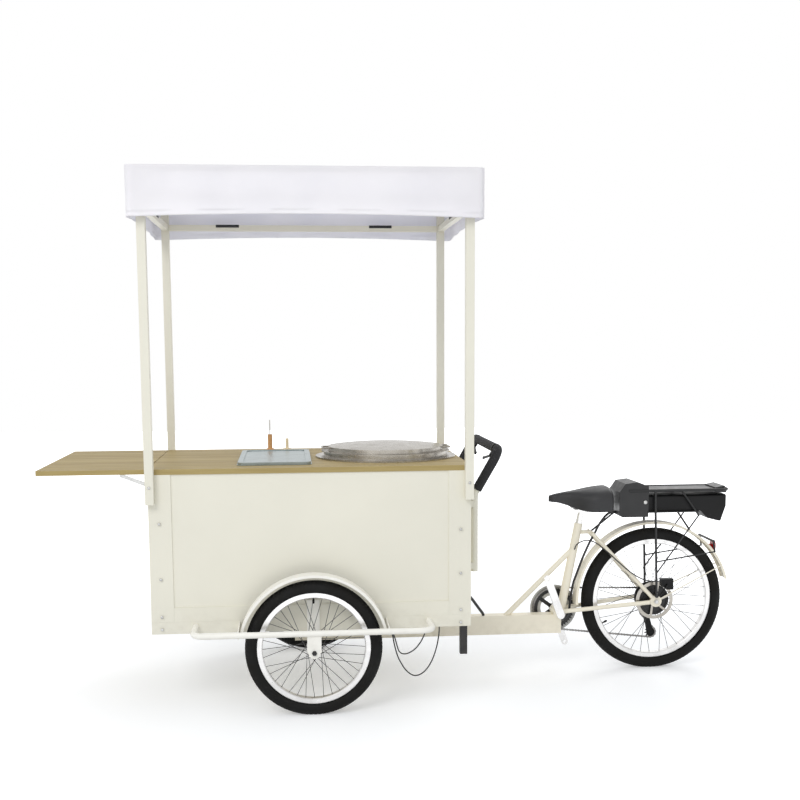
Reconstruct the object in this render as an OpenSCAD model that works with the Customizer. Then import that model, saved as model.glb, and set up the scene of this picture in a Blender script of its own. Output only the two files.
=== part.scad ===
// Bicycle food cart: a cabinet on two front wheels, turned by hand on a beam that ends in the
// rear half of a bicycle with a motor hub. Millimetres, +Z up, the cabinet's front towards -X.
// Places along X are measured from the front axle line, then shifted so the part is centred.

/* [Cabinet] */
// Length of the cabinet
cabinet_l = 1210; // [1180:1:1300]
// Width of the cabinet across its side faces
cabinet_w = 804; // [760:1:840]
// Height of the cabinet's underside above the ground
floor_z = 301; // [298:1:310]
// Height of the underside of the worktop
cabinet_top_z = 904; // [880:1:960]
// Thickness of the wooden worktop and shelf
board_t = 20; // [15:1:28]
// Width of the corner trims on the side faces
corner_w = 85; // [60:1:100]
// Height of the sill channel
sill_h = 46; // [40:1:50]
// Height of the skirting strip above the sill
skirt_h = 54; // [40:1:70]
// Thickness of the panel sheets
panel_t = 3; // [2:0.5:4]

/* [Shelf] */
// Reach of the fold-out shelf
shelf_l = 400; // [300:1:450]
// Width of the fold-out shelf
shelf_w = 796; // [700:1:800]

/* [Canopy] */
// Length of the canopy
canopy_l = 1280; // [1262:1:1340]
// Depth of the canopy
canopy_w = 934; // [920:1:980]
// Height of the canopy's lower hem
canopy_z = 1832; // [1800:1:1850]
// Height of the valance from hem to roof
valance_h = 188; // [170:1:220]
// Width of the square canopy posts
post_s = 32; // [25:1:36]

/* [Griddle and pan] */
// Radius of the griddle's flange on the worktop
griddle_flange_r = 286; // [280:1:290]
// Radius of the lid's drum
lid_r = 235; // [225:1:240]
// Width of the pan well's flange along the cart
pan_l = 286; // [240:1:290]
// Width of the pan well's flange across the cart
pan_w = 540; // [450:1:600]
// Depth of the pan well
pan_depth = 150; // [100:1:200]

/* [Front wheels] */
// Outer radius of the front tyres
front_tyre_r = 254; // [245:1:256]
// Width of the front tyres
front_tyre_w = 48; // [40:1:52]
// Distance of each front wheel's middle from the side of the cabinet
wheel_gap_y = 79; // [73:1:88]
// Outer radius of the front mudguards
front_guard_r = 281; // [276:1:290]
// Number of spokes in each wheel
spoke_count = 36; // [36:36:36]

/* [Rear wheel] */
// Distance from the front axles to the rear axle
wheelbase = 1444; // [1430:1:1480]
// Outer radius of the rear tyre
rear_tyre_r = 300; // [292:1:303]
// Width of the rear tyre
rear_tyre_w = 50; // [42:1:54]
// Outer radius of the rear mudguard
rear_guard_r = 332; // [326:1:336]

/* [Rear frame] */
// Height of the beam's section
beam_h = 80; // [70:1:84]
// Width of the beam's section
beam_w = 50; // [40:1:56]
// Outer diameter of the seat tube
seat_tube_d = 36; // [34:1:38]
// Diameter of the seat post
seat_post_d = 27.2; // [25:0.1:29]
// Lean of the seat tube from upright, in degrees
seat_tube_lean = 11; // [10:0.5:12]

/* [Drive] */
// Length of the cranks between centres
crank_l = 165; // [150:1:175]
// Teeth on the chainring
ring_teeth = 44; // [44:1:44]
// Teeth on the driven cog
cog_teeth = 16; // [16:1:16]
// Pitch of the chain
chain_pitch = 12.7; // [12.7:0.1:12.7]

/* [Saddle] */
// Length of the saddle
saddle_l = 266; // [240:1:280]
// Width of the saddle
saddle_w = 214; // [160:1:240]

/* [Rack and battery] */
// Height of the rack's deck
rack_z = 776; // [765:1:790]
// Half width of the rack between its rail centres
rack_y = 74; // [70:1:80]
// Length of the battery
battery_l = 434; // [400:1:440]
// Width of the battery
battery_w = 128; // [110:1:132]
// Height of the battery
battery_h = 66; // [60:1:68]

/* [Handlebar] */
// Diameter of the handlebar tube
handle_d = 28; // [25:1:30]
// Half width between the handlebar's legs
handle_y = 300; // [260:1:320]
// Lean of the handlebar's upper part, in degrees
handle_lean = 30; // [25:1:35]

/* [Hidden] */
$fn = 64;

// Finishes
cream = [0.90, 0.88, 0.82];
cloth_white = [0.92, 0.91, 0.93];
wood = [0.72, 0.60, 0.42];
steel = [0.76, 0.77, 0.78];
alloy = [0.66, 0.67, 0.68];
iron = [0.22, 0.22, 0.23];
black = [0.08, 0.08, 0.09];
rubber = [0.06, 0.06, 0.06];
red = [0.70, 0.06, 0.05];

// Clearances and cuts
seat = 0.2;
run_fit = 0.05;
air = 0.3;
over = 2;

// Cabinet sheets and channels
trim_t = 4;
trim_end_w = 60;
sill_w = 30;
channel_t = 3;
rail_h = 28;
rail_w = 25;
sill_top = floor_z + sill_h;
skin_y = cabinet_w / 2 - trim_t - seat;
skin_x = cabinet_l / 2 - trim_t - seat;
inside_y = skin_y - panel_t - seat;
inside_x = skin_x - panel_t - seat;
floor_lip = 18;
board_top = cabinet_top_z + board_t;
board_r = 8;

// Support legs in the two rear corners
leg_s = 28;
leg_wall = 2.5;
sleeve_s = 36;
sleeve_l = 200;
leg_x = inside_x - seat - sleeve_s / 2;
leg_y = inside_y - seat - sleeve_s / 2;
leg_drop = 114;
leg_l = 384;
leg_foot_h = 8;

// Service door on the right side, over the wheel
door_l = 470;
door_h = 310;
door_t = 16;
door_skin = 2;
door_lap = 15;
door_gap = 115;
door_x = cabinet_l / 2 - door_gap - door_l;
door_z = 566;
knuckle_l = 46;
knuckle_r = 6;
hinge_pin_r = 3;
lug_t = 5;
lug_s = 12;
door_pin_x = door_x + door_l + knuckle_r + 2 * trim_t;
door_pin_y = skin_y + knuckle_r + 2 * trim_t;
door_hinge_shares = [0.2, 0.8];
pull_l = 90;
pull_d = 10;
pull_out = 26;

// Griddle
griddle_x = 312;
griddle_drum_r = 256;
griddle_flange_t = 6;
griddle_collar_r = 252;
griddle_collar_h = 18;
griddle_depth = 110;
griddle_wall = 2;
plate_r = 240;
plate_t = 12;
ledge_w = 16;
ledge_t = 4;
burner_r = 120;
burner_d = 22;
burner_leg_r = 6;
lid_rim_r = 262;
lid_rim_t = 3;
lid_wall_h = 17;
lid_crown = 15;
lid_handle_l = 90;
lid_handle_out = 24;
lid_handle_d = 8;
griddle_collar_z = board_top + griddle_flange_t + griddle_collar_h;

// Pan well and its cover
pan_x = -138;
pan_y = -40;
pan_flange_w = 20;
pan_wall = 1.5;
pan_r = 24;
pan_flange_t = 2;
cover_h = 9;
cover_inset = 3;
cover_t = 1.5;
cover_dish = 5;

// Utensils in two holes at the worktop's far edge
tool_inset = 52;
tool_y = cabinet_w / 2 - tool_inset;
spatula_x = -164;
spreader_x = -90;
tool_hole_r = 12;
spatula_handle_r = 10;
spatula_handle_h = 68;
spatula_blade = [4, 22, 62];
spreader_r = 7;
spreader_h = 44;
tool_below = 60;
tool_rest_r = 16;
tool_rest_h = 6;

// Shelf hinge and braces
hinge_out = 7;
hinge_x = -(cabinet_l / 2 + hinge_out);
hinge_drop = 6;
hinge_z = cabinet_top_z - hinge_drop;
hinge_r = 5;
shelf_pin_r = 2.5;
leaf_t = 2;
leaf_l = 60;
leaf_w = 40;
shelf_gap = 3;
shelf_x = -(cabinet_l / 2 + shelf_gap);
hinge_y = 250;
brace_inset = 84;
brace_y = cabinet_w / 2 - brace_inset;
brace_drop = 42;
brace_reach = 97;
brace_w = 14;
brace_t = 4;
brace_pin_r = 3;
brace_tip_z = hinge_z - 2 * leaf_t;
brace_x = hinge_x;
brace_z = hinge_z - brace_drop;
brace_lug = 16;

// Canopy frame and cover
post_inset = 10;
post_x = cabinet_l / 2 - post_inset;
post_y = cabinet_w / 2 + air + post_s / 2;
post_lap = 109;
post_low_z = cabinet_top_z - post_lap;
post_wall = 2;
bar_s = 25;
canopy_t = 2.5;
canopy_r = 26;
canopy_top = canopy_z + valance_h;
canopy_crown = 8;
hem_wave = 4;
hem_lift = 12;
hem_waves = 5;
hem_side_points = 14;
hem_corner_points = 4;
frame_top = canopy_top - canopy_crown - seat;
cover_gap = 0.3;
lower_bar_up = 34;
lower_bar_z = canopy_z + lower_bar_up;
strap_l = 100;
strap_lap = 11;
strap_t = 1.6;
strap_x = 330;

// Handlebar
handle_out = 29;
handle_x = cabinet_l / 2 + handle_out;
handle_low_z = 495;
handle_bend_z = 785;
handle_bend_r = 60;
handle_corner_r = 50;
handle_slope_l = 128;
weld = 0.2;
foot_h = 26;
foot_shares = [0.08, 0.92];
sleeve_t = 5;
sleeve_gap = 0.2;
clamp_y = 222;
clamp_w = 22;
clamp_r = 20;
lever_pivot_y = 214;
lever_drop = 32;
lever_l = 112;
lever_lean = 12;
lever_w = 13;
lever_t = 8;
lever_pin_r = 3;
lever_ear = 5;
handle_top_x = handle_x + handle_bend_r * (1 - cos(handle_lean))
  + (handle_slope_l + handle_corner_r) * sin(handle_lean);
handle_top_z = handle_bend_z + handle_bend_r * sin(handle_lean)
  + (handle_slope_l + handle_corner_r) * cos(handle_lean);

// Front wheel carriers
guard_d = 23;
front_wheel_y = cabinet_w / 2 + wheel_gap_y;
guard_out = 75;
guard_y = front_wheel_y + guard_out;
guard_z = 327;
guard_l = 882;
guard_bend_r = 45;
axle_plate_w = 52;
axle_plate_t = 6;
axle_plate_r = 22;
inner_plate_w = 48;
inner_plate_top = 420;
strap_h = 30;
strap_plate_t = 4;
axle_r = 5;
axle_hole = 0.2;
spacer_r = 8;
nut_d = 19;
nut_t = 7;
nut_cap_r = 6;
nut_cap_h = 4;
mudguard_w = 60;
mudguard_t = 2;
mudguard_lip = 10;
mudguard_from = 12;
strap_in_x = sqrt(pow(front_guard_r, 2) - pow(guard_z - strap_h / 2 - front_tyre_r, 2)) + air;

// Wheels
tyre_wall = 4;
tyre_groove_w = 3;
tyre_groove_deep = 1.5;
tyre_groove_shares = [-0.22, 0.22];
rim_h = 20;
rim_w = 30;
rim_wall = 3;
bead = 6;
spoke_d = 2.2;
spoke_stagger = 3;
rim_dish = 3;
front_flange_r = 27;
front_flange_y = 28;
flange_t = 8;
front_hub_r = 15;
front_hub_l = 100;
front_cross = 60;
rear_flange_r = 66;
rear_cross = 20;

// Steering head and pin
steer_pin_r = 20;
steer_pin_h = 92;
steer_head_r = 38;
steer_collar_h = 6;
cross_l = 120;
head_top_gap = 2;

// Beam and bottom bracket
beam_top_z = 244;
beam_front = -70;
beam_wall = 3;
stay_run = 409;
crank_x = wheelbase - stay_run;
crank_z = 254;
shell_r = 21;
shell_y = 38;
spindle_r = 8.5;
beam_tail = 15;
beam_back = crank_x + beam_tail;

// Seat tube, strut and stays
axle_z = rear_tyre_r;
mast_back = 18;
mast_x = crank_x + mast_back;
mast_top_z = 628;
strut_d = 22;
strut_wall = 2;
strut_foot_x = 800;
strut_top_z = 523;
stay_d = 18;
stay_wall = 2;
stay_y = 32;
dropout_y = 70.5;
dropout_t = 6;
dropout_r = 24;
seat_stay_d = 16;
seat_stay_y = 35;
seat_stay_back = 122;
seat_stay_x = mast_x + seat_stay_back;
seat_stay_z = 590;
rear_axle_r = 6;
rear_axle_l = 172;

// Hub motor, rotor and caliper
hub_left_y = -40;
hub_right_y = 24;
hub_drum_r = 60;
hub_boss_r = 24;
hub_boss_y = -48.8;
hub_cover_r = 44;
rotor_r = 80;
rotor_band = 14;
rotor_t = 2;
rotor_y = -50;
rotor_arms = 6;
rotor_root_share = 0.7;
rotor_sweep = 24;
rotor_arm_w = 9;
caliper_back = 50;
caliper_x = wheelbase + caliper_back;
caliper_up = 70;
caliper_z = axle_z + caliper_up;
caliper_l = 52;
caliper_h = 46;
caliper_y = -52;
caliper_w = 28;
caliper_clear = 68;
caliper_slot = 5;
caliper_slot_h = 30;

// Chain wheels and derailleur
chain_y = 52;
ring_t = 2.2;
tooth_h = 3;
roller_r = 3.9;
roller_gap = 0.5;
// Sides of a tooth gap beyond the seat, in shares of the seat radius
gap_shares = [[-0.5, -0.8], [0.75, -1.4], [0.75, 1.4], [-0.5, 0.8]];
cog_step = 5.5;
cog_t = 2;
cog_sizes = [14, 16, 18, 20, 22, 24];
cog_core_r = 23;
pulley_teeth = 11;
guide_ahead = 8;
guide_x = wheelbase - guide_ahead;
guide_drop = 70;
guide_z = axle_z - guide_drop;
idler_back = 18;
idler_x = wheelbase + idler_back;
idler_drop = 162.95;
idler_z = axle_z - idler_drop;
plate_half = 4.1;
waist_share = 0.72;
link_inner = 1.7;
link_plate_t = 0.9;
link_gap = 0.1;
pin_r = 1.8;
pin_gap = 0.15;
pulley_t = 2.6;
arm_share = 0.6;
pulley_hub_r = 5;
cage_w = 24;
cage_t = 2;
cage_half = 6;
crank_boss_r = 16;
crank_eye_r = 14;
crank_t = 13;
crank_y = 73;
crank_lean = 20;
pedal_r = 7.1;
spider_w = 16;
spider_t = 4;
spider_arms = 5;
ring_band = 18;
spider_lap = 3;
spider_r = pitch_r(ring_teeth) - ring_band + spider_lap;
disc_over = 12;
disc_r = pitch_r(ring_teeth) + disc_over;
disc_bore_r = 56;
disc_t = 2;
disc_gap = 0.5;
disc_post_r = 6;
disc_post_in = 11;
disc_post_at = spider_r - disc_post_in;

// Rear mudguard, rack, battery
rear_guard_w = 58;
rear_guard_from = 14;
rear_guard_to = 183;
guard_stay_d = 5;
stay_turn = 12;
rack_rail_d = 12;
rack_leg_d = 10;
rack_bar_d = 8;
rack_tie_d = 6;
rack_bend_r = 28;
rack_front_x = -152;
rack_back_x = 301;
rack_leg_top_x = -13;
rack_strut_x = 98;
rack_fork_x = 172;
rack_fork_z = 664;
rack_knee_x = 239;
rack_knee_z = 553;
rack_foot_x = 246;
rack_foot_z = 508;
rack_tie_z = 470;
rack_brace_z = 420;
rack_hanger_x = 101;
rack_hanger_run = 67;
rack_leg_y = 81;
rack_hanger_z = 583;
deck_t = 4;
tail_l = 52;
tail_h = 30;
tail_shares = [[0, 0.1], [0.85, 0], [1, 0.5], [0.7, 1], [0, 0.75]];
dock_l = 124;
dock_h = 146;
dock_x = -166;
dock_z = 660;
dock_t = 12;
dock_shares = [[0, 0.05], [0.12, 0], [1, 0], [1, 0.88], [0.6, 1], [0.2, 0.96], [0, 0.72]];
battery_x = -140;
battery_z = 682;
battery_r = 10;
battery_tail_share = 0.72;
battery_shares = [[0, 0], [0.745, 0], [0.82, -0.5], [0.95, -0.72], [1, 0.27], [1, 1], [0, 1]];
battery_grip_l = 70;
battery_grip_h = 20;
battery_grip_deep = 12;
battery_grip_share = 0.6;
tray_l = 218;
tray_t = 4;
reflector_r = 24;
reflector_t = 10;
reflector_z = 521;
reflector_arm = 14;

// Seat post and saddle
post_l = 300;
post_up = 62;
saddle_reach = 141.7;
saddle_top_z = 786;
saddle_deep = 62;
saddle_rail_d = 7;
saddle_rail_y = 22;
saddle_rings = 18;
saddle_sides = 24;
nose_share = 0.2;
widen_shares = [0.12, 0.62];
widen_power = 2.2;
nose_round_share = 0.1;
nose_full_share = 0.4;
back_round_share = 0.1;
back_full_share = 0.88;
drop_shares = [0.62, 0.08, 0.45];
skirt_shares = [0.05, 0.6, 0.62, 0.35];
hollow_share = 0.55;
hollow_power = 4;
least_share = 0.25;
belt_share = 0.38;
round_power = 0.75;
head_l = 44;
head_w = 54;
head_h = 26;

// Overall reach, which centres the part along X
shelf_tip_x = shelf_x - shelf_l;
tail_x = wheelbase + rear_guard_r * cos(rear_guard_from);
front_x = -(shelf_tip_x + tail_x) / 2;

// Routes of the cords, measured from the front axle line
small_loop = [
  [279.6, -532, 320], [287, -532, 318], [296, -528, 304], [303, -520, 282], [310, -507, 257],
  [317, -492, 236], [327, -476, 222], [340, -460, 214], [356, -446, 212], [373, -433, 216],
    [390, -421, 225],
  [405, -410, 239], [417, -401, 255], [426, -394, 272], [431, -389, 288], [432, -387, 300.6]
];
large_loop = [
  [279.6, -518, 320], [286, -518, 317], [292, -516, 302], [297, -512, 274], [304, -505, 244],
  [314, -495, 212], [327, -482, 184], [342, -467, 158], [360, -450, 136], [378, -435, 122],
    [398, -421, 118],
  [418, -410, 124], [437, -401, 140], [453, -395, 164], [466, -391, 194], [476, -388, 228],
    [482, -387, 262],
  [484, -387, 284], [484, -387, 300.6]
];
cable_d = 5;
conduit_route = [
  [605.4, -96, 372], [613, -96, 371.5], [624, -94, 366], [638, -88, 356], [652, -80, 342], [666, -70, 325],
  [679, -58, 307], [691, -46, 290], [702, -34, 275], [711, -24, 263], [717, -16, 254], [719, -13, 249],
  [719, -12, 246.2]
];
conduit_d = 12;
loom_route = [
  [1277.6, -14, 676], [1266, -14, 675], [1252, -14, 670], [1239, -15, 661], [1227, -16, 648],
  [1215, -16, 631], [1203, -16, 611], [1192, -16, 588], [1180, -16, 566], [1168, -14, 542], [1156, -12, 514],
  [1144, -9, 484],
  [1132, -6, 450], [1120, -3, 414], [1108, 0, 378], [1101, 0, 344], [1096, 0, 312], [1093, 0, 284],
  [1090, 0, 258], [1083, 0, 236], [1070, 0, 221], [1059, 0, 216], [1050.6, 0, 215]
];
loom_d = 10;
brake_route = [
  [1105, -18.6, 520], [1106, -24, 526], [1108, -31, 538], [1116, -38, 548], [1128, -44, 557],
    [1143, -49, 562],
  [1160, -53, 562], [1178, -56, 556], [1198, -59, 544], [1222, -62, 524], [1250, -66, 500],
    [1282, -70, 470],
  [1316, -74, 440], [1350, -76, 415], [1384, -76, 397], [1416, -74, 388], [1442, -69, 385],
    [1458, -63, 384],
  [1467.6, -60, 384]
];

// Moves a place measured from the front axle line into the part's own frame
module from_front() {
  translate([front_x, 0, 0]) children();
}

// Draws a piece and its mirror image on the other side
module both_sides() {
  children();
  mirror([0, 1, 0]) children();
}

// Draws a piece at the cart's front end and mirrored at its rear end
module both_ends() {
  children();
  mirror([1, 0, 0]) children();
}

// Round bar between two points
module bar(a, b, d) {
  v = b - a;
  translate(a) rotate([0, acos(v[2] / norm(v)), atan2(v[1], v[0])]) cylinder(h = norm(v), d = d);
}

// Round tube between two points, open at both ends
module tube(a, b, d, wall) {
  u = (b - a) / norm(b - a);
  difference() {
    bar(a, b, d);
    bar(a - over * u, b + over * u, d - 2 * wall);
  }
}

// Cylinder across the cart, from one Y to another
module across(r, y0, y1) {
  translate([0, y0, 0]) rotate([-90, 0, 0]) cylinder(h = y1 - y0, r = r);
}

// Box from one corner to the opposite one
module block(a, b) {
  translate(a) cube(b - a);
}

// Flat sheet with round corners, centred in plan
module rounded_sheet(l, w, r, t) {
  linear_extrude(t) rounded_outline(l, w, r);
}

module rounded_outline(l, w, r) {
  square([l - 2 * r, w], center = true);
  square([l, w - 2 * r], center = true);
  for (x = [-1, 1], y = [-1, 1]) translate([x * (l / 2 - r), y * (w / 2 - r)]) circle(r);
}

// Channel along X whose back is at Y 0 and whose open side faces +Y
module channel(l, w, h, t) {
  difference() {
    block([-l / 2, 0, 0], [l / 2, w, h]);
    block([-l / 2 - over, t, t], [l / 2 + over, w + over, h - t]);
  }
}

// Square tube along X, centred in its section and closed at both ends
module square_bar(l, s, wall) {
  difference() {
    block([-l / 2, -s / 2, -s / 2], [l / 2, s / 2, s / 2]);
    block([-l / 2 + wall, -s / 2 + wall, -s / 2 + wall], [l / 2 - wall, s / 2 - wall, s / 2 - wall]);
  }
}

// Cords: a smooth curve through the route's points, swept as one tube
function route_point(p, i, t) =
  let (a = p[max(i - 1, 0)], b = p[i], c = p[min(i + 1, len(p) - 1)], d = p[min(i + 2, len(p) - 1)])
  0.5 * (2 * b + (c - a) * t + (2 * a - 5 * b + 4 * c - d) * t * t + (3 * b - a - 3 * c + d) * t * t * t);
function smooth_route(p, steps) =
  [for (i = [0:len(p) - 2], k = [0:steps - 1]) route_point(p, i, k / steps), p[len(p) - 1]];
function unit(v) = v / norm(v);
function route_dir(q, i) = unit(q[min(i + 1, len(q) - 1)] - q[max(i - 1, 0)]);
function ring_at(c, dir, r, n) =
  let (side = unit(cross(dir, [0.12, 0.98, 0.15])), up = cross(side, dir))
  [for (k = [0:n - 1]) c + r * (cos(360 * k / n) * side + sin(360 * k / n) * up)];
function tube_faces(rings, n) = concat(
  [for (k = [1:n - 2]) [0, k + 1, k]],
  [for (i = [0:rings - 2], k = [0:n - 1], h = [0, 1])
    let (a = i * n + k, b = i * n + (k + 1) % n)
    h == 0 ? [a, b, b + n] : [a, b + n, a + n]],
  [for (k = [1:n - 2]) [(rings - 1) * n, (rings - 1) * n + k, (rings - 1) * n + k + 1]]
);
module cord(route, d, steps, n) {
  q = smooth_route(route, steps);
  points = [for (i = [0:len(q) - 1]) each ring_at(q[i], route_dir(q, i), d / 2, n)];
  polyhedron(points, tube_faces(len(q), n), convexity = 6);
}

// Cabinet

module floor_pan() {
  color(cream) from_front() difference() {
    block([-inside_x, -inside_y, sill_top + seat],
      [inside_x - sleeve_s - 2 * seat, inside_y, sill_top + seat + floor_lip]);
    block([-inside_x + panel_t, -inside_y + panel_t, sill_top + seat + panel_t],
      [inside_x - sleeve_s - 2 * seat - panel_t, inside_y - panel_t, sill_top + seat + floor_lip + over]);
  }
}

// Sill channels under the panels, with room for the leg sleeves in the rear corners
module sills() {
  difference() {
    union() {
      both_sides() translate([0, -cabinet_w / 2, floor_z]) channel(cabinet_l, sill_w, sill_h, channel_t);
      both_ends() translate([-cabinet_l / 2, 0, floor_z]) rotate([0, 0, -90])
        channel(cabinet_w - 2 * sill_w - 2 * seat, sill_w, sill_h, channel_t);
    }
    both_sides() block([leg_x - sleeve_s / 2 - seat, -leg_y - sleeve_s / 2 - seat, floor_z - over],
      [leg_x + sleeve_s / 2 + seat, -leg_y + sleeve_s / 2 + seat, sill_top + over]);
  }
}

// Bent corner trim of the front left corner
module corner_trim() {
  x = -cabinet_l / 2;
  y = -cabinet_w / 2;
  block([x, y, sill_top + seat], [x + corner_w, y + trim_t, cabinet_top_z]);
  block([x, y, sill_top + seat], [x + trim_t, y + trim_end_w, cabinet_top_z]);
}

module leg_sleeve() {
  difference() {
    translate([leg_x, -leg_y, floor_z]) rounded_sheet(sleeve_s, sleeve_s, leg_wall, sleeve_l);
    translate([leg_x, -leg_y, floor_z - over])
      rounded_sheet(leg_s + 2 * air, leg_s + 2 * air, leg_wall, sleeve_l + 2 * over);
  }
}

module cabinet_frame() {
  skirt_l = cabinet_l - 2 * corner_w - 2 * seat;
  rail_in = inside_y - seat;
  color(cream) from_front() {
    sills();
    both_sides() block([-skirt_l / 2, -cabinet_w / 2, sill_top + seat],
      [skirt_l / 2, -cabinet_w / 2 + trim_t, sill_top + seat + skirt_h]);
    both_ends() both_sides() corner_trim();
    both_sides() translate([0, -rail_in, cabinet_top_z - rail_h])
      channel(2 * inside_x - 2 * seat, rail_w, rail_h, channel_t);
    both_ends() translate([-inside_x + seat, 0, cabinet_top_z - rail_h]) rotate([0, 0, -90])
      channel(2 * (rail_in - rail_w - seat), rail_w, rail_h, channel_t);
    both_sides() leg_sleeve();
  }
}

module side_sheet() {
  block([-skin_x + panel_t + seat, -skin_y, sill_top + seat],
    [skin_x - panel_t - seat, -skin_y + panel_t, cabinet_top_z]);
}

module side_panel_left() {
  color(cream) from_front() side_sheet();
}

// Fixed part of one door hinge: two lugs with the pin between them
module door_hinge(z) {
  translate([door_pin_x, 0, z]) {
    for (s = [0, 1]) mirror([0, 0, s])
      block([-lug_s / 2, skin_y - seat, knuckle_l / 2 + air],
        [lug_s / 2, door_pin_y + lug_s / 2, knuckle_l / 2 + air + lug_t]);
    translate([0, door_pin_y, -knuckle_l / 2 - lug_t]) cylinder(h = knuckle_l + 2 * lug_t, r = hinge_pin_r);
  }
}

module side_panel_right() {
  color(cream) from_front() {
    difference() {
      mirror([0, 1, 0]) side_sheet();
      block([door_x + door_lap, skin_y - panel_t - over, door_z + door_lap],
        [door_x + door_l - door_lap, skin_y + over, door_z + door_h - door_lap]);
    }
    for (s = door_hinge_shares) door_hinge(door_z + s * door_h);
  }
}

// Folded sheet door that laps over its opening, with a bent pull and two knuckles
module service_door() {
  y0 = skin_y + air;
  grip_x = door_x + door_lap + pull_out;
  grip_z = door_z + door_h / 2;
  color(cream) from_front() difference() {
    union() {
      difference() {
        block([door_x, y0, door_z], [door_x + door_l, y0 + door_t, door_z + door_h]);
        block([door_x + door_skin, y0 - over, door_z + door_skin],
          [door_x + door_l - door_skin, y0 + door_t - door_skin, door_z + door_h - door_skin]);
      }
      for (s = door_hinge_shares) translate([0, 0, door_z + s * door_h - knuckle_l / 2]) {
        translate([door_pin_x, door_pin_y, 0]) cylinder(h = knuckle_l, r = knuckle_r);
        block([door_x + door_l - door_skin, door_pin_y - door_skin, 0],
          [door_pin_x, door_pin_y + door_skin, knuckle_l]);
      }
      for (s = [-1, 1])
        bar([grip_x, y0 + door_t - door_skin, grip_z + s * pull_l / 2],
          [grip_x, y0 + door_t + pull_out, grip_z + s * pull_l / 2], pull_d);
      bar([grip_x, y0 + door_t + pull_out, grip_z - pull_l / 2 - pull_d / 2],
        [grip_x, y0 + door_t + pull_out, grip_z + pull_l / 2 + pull_d / 2], pull_d);
    }
    translate([door_pin_x, door_pin_y, door_z - over])
      cylinder(h = door_h + 2 * over, r = hinge_pin_r + run_fit);
  }
}

module end_panels() {
  color(cream) from_front() both_ends()
    block([-skin_x, -skin_y, sill_top + seat], [-skin_x + panel_t, skin_y, cabinet_top_z]);
}

module worktop() {
  color(wood) from_front() difference() {
    translate([0, 0, cabinet_top_z + seat]) rounded_sheet(cabinet_l, cabinet_w, board_r, board_t - seat);
    translate([griddle_x, 0, cabinet_top_z - over])
      cylinder(h = board_t + 2 * over, r = griddle_drum_r + air);
    translate([pan_x, pan_y, cabinet_top_z - over])
      rounded_sheet(pan_l - 2 * pan_flange_w + 2 * air, pan_w - 2 * pan_flange_w + 2 * air, pan_r,
        board_t + 2 * over);
    for (x = [spatula_x, spreader_x]) translate([x, tool_y, cabinet_top_z - over])
      cylinder(h = board_t + 2 * over, r = tool_hole_r);
  }
}

// Griddle

module griddle_body() {
  z0 = board_top + seat - griddle_depth;
  color(steel) from_front() translate([griddle_x, 0, 0]) {
    rotate_extrude() {
      translate([griddle_drum_r - griddle_wall, z0])
        square([griddle_wall, griddle_depth + griddle_flange_t - seat]);
      translate([0, z0]) square([griddle_drum_r, griddle_wall]);
      translate([griddle_collar_r - griddle_wall, board_top + seat])
        square([griddle_flange_r - griddle_collar_r + griddle_wall, griddle_flange_t - seat]);
      translate([griddle_flange_r - griddle_flange_t / 2, board_top + griddle_flange_t / 2 + seat])
        circle(d = griddle_flange_t - seat);
      translate([griddle_collar_r - griddle_wall, board_top + seat])
        square([griddle_wall, griddle_flange_t + griddle_collar_h - seat]);
      translate([griddle_collar_r - ledge_w, board_top + seat]) square([ledge_w, ledge_t]);
    }
    translate([0, 0, z0 + griddle_depth / 2]) rotate_extrude() translate([burner_r, 0])
      circle(d = burner_d);
    for (a = [0:120:240]) rotate([0, 0, a]) translate([burner_r, 0, z0])
      cylinder(h = griddle_depth / 2, r = burner_leg_r);
  }
}

module griddle_plate() {
  color(iron) from_front() translate([griddle_x, 0, board_top + ledge_t + 2 * seat])
    cylinder(h = plate_t, r = plate_r);
}

// Half section of the lid's body: a straight wall under a flat dome
module lid_section(r, z, crown) {
  dome_r = (r * r + crown * crown) / (2 * crown);
  intersection() {
    translate([0, griddle_collar_z - over]) square([r, z + crown]);
    translate([0, z + crown - dome_r]) circle(dome_r, $fn = 720);
  }
}

// Side handle of the lid: a bent rod with both ends on the lid's wall
module lid_handle() {
  z = griddle_collar_z + lid_rim_t + lid_wall_h / 2 + lid_rim_t;
  out = lid_r + lid_handle_out;
  y = lid_handle_l / 2;
  root = sqrt(lid_r * lid_r - y * y) - griddle_wall / 2;
  for (s = [-1, 1]) bar([root, s * y, z], [out, s * y, z], lid_handle_d);
  bar([out, -y - lid_handle_d / 2, z], [out, y + lid_handle_d / 2, z], lid_handle_d);
}

module griddle_lid() {
  z = griddle_collar_z + air + lid_rim_t + lid_wall_h;
  color(steel) from_front() translate([griddle_x, 0, 0]) {
    rotate_extrude() difference() {
      union() {
        lid_section(lid_r, z, lid_crown);
        translate([lid_r - griddle_wall, griddle_collar_z + air])
          square([lid_rim_r - lid_r + griddle_wall, lid_rim_t]);
      }
      translate([0, -griddle_wall]) lid_section(lid_r - griddle_wall, z, lid_crown);
      translate([0, griddle_collar_z - 2 * over]) square([lid_rim_r, 2 * over + air]);
    }
    for (s = [0, 180]) rotate([0, 0, s]) lid_handle();
  }
}

// Pan well and cover

module pan_well() {
  l = pan_l - 2 * pan_flange_w;
  w = pan_w - 2 * pan_flange_w;
  color(steel) from_front() translate([pan_x, pan_y, 0]) difference() {
    union() {
      translate([0, 0, board_top + seat]) rounded_sheet(pan_l, pan_w, pan_r, pan_flange_t);
      translate([0, 0, board_top - pan_depth]) rounded_sheet(l, w, pan_r, pan_depth + pan_flange_t);
    }
    translate([0, 0, board_top - pan_depth + pan_wall])
      rounded_sheet(l - 2 * pan_wall, w - 2 * pan_wall, pan_r - pan_wall, pan_depth + pan_flange_t + over);
  }
}

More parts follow.
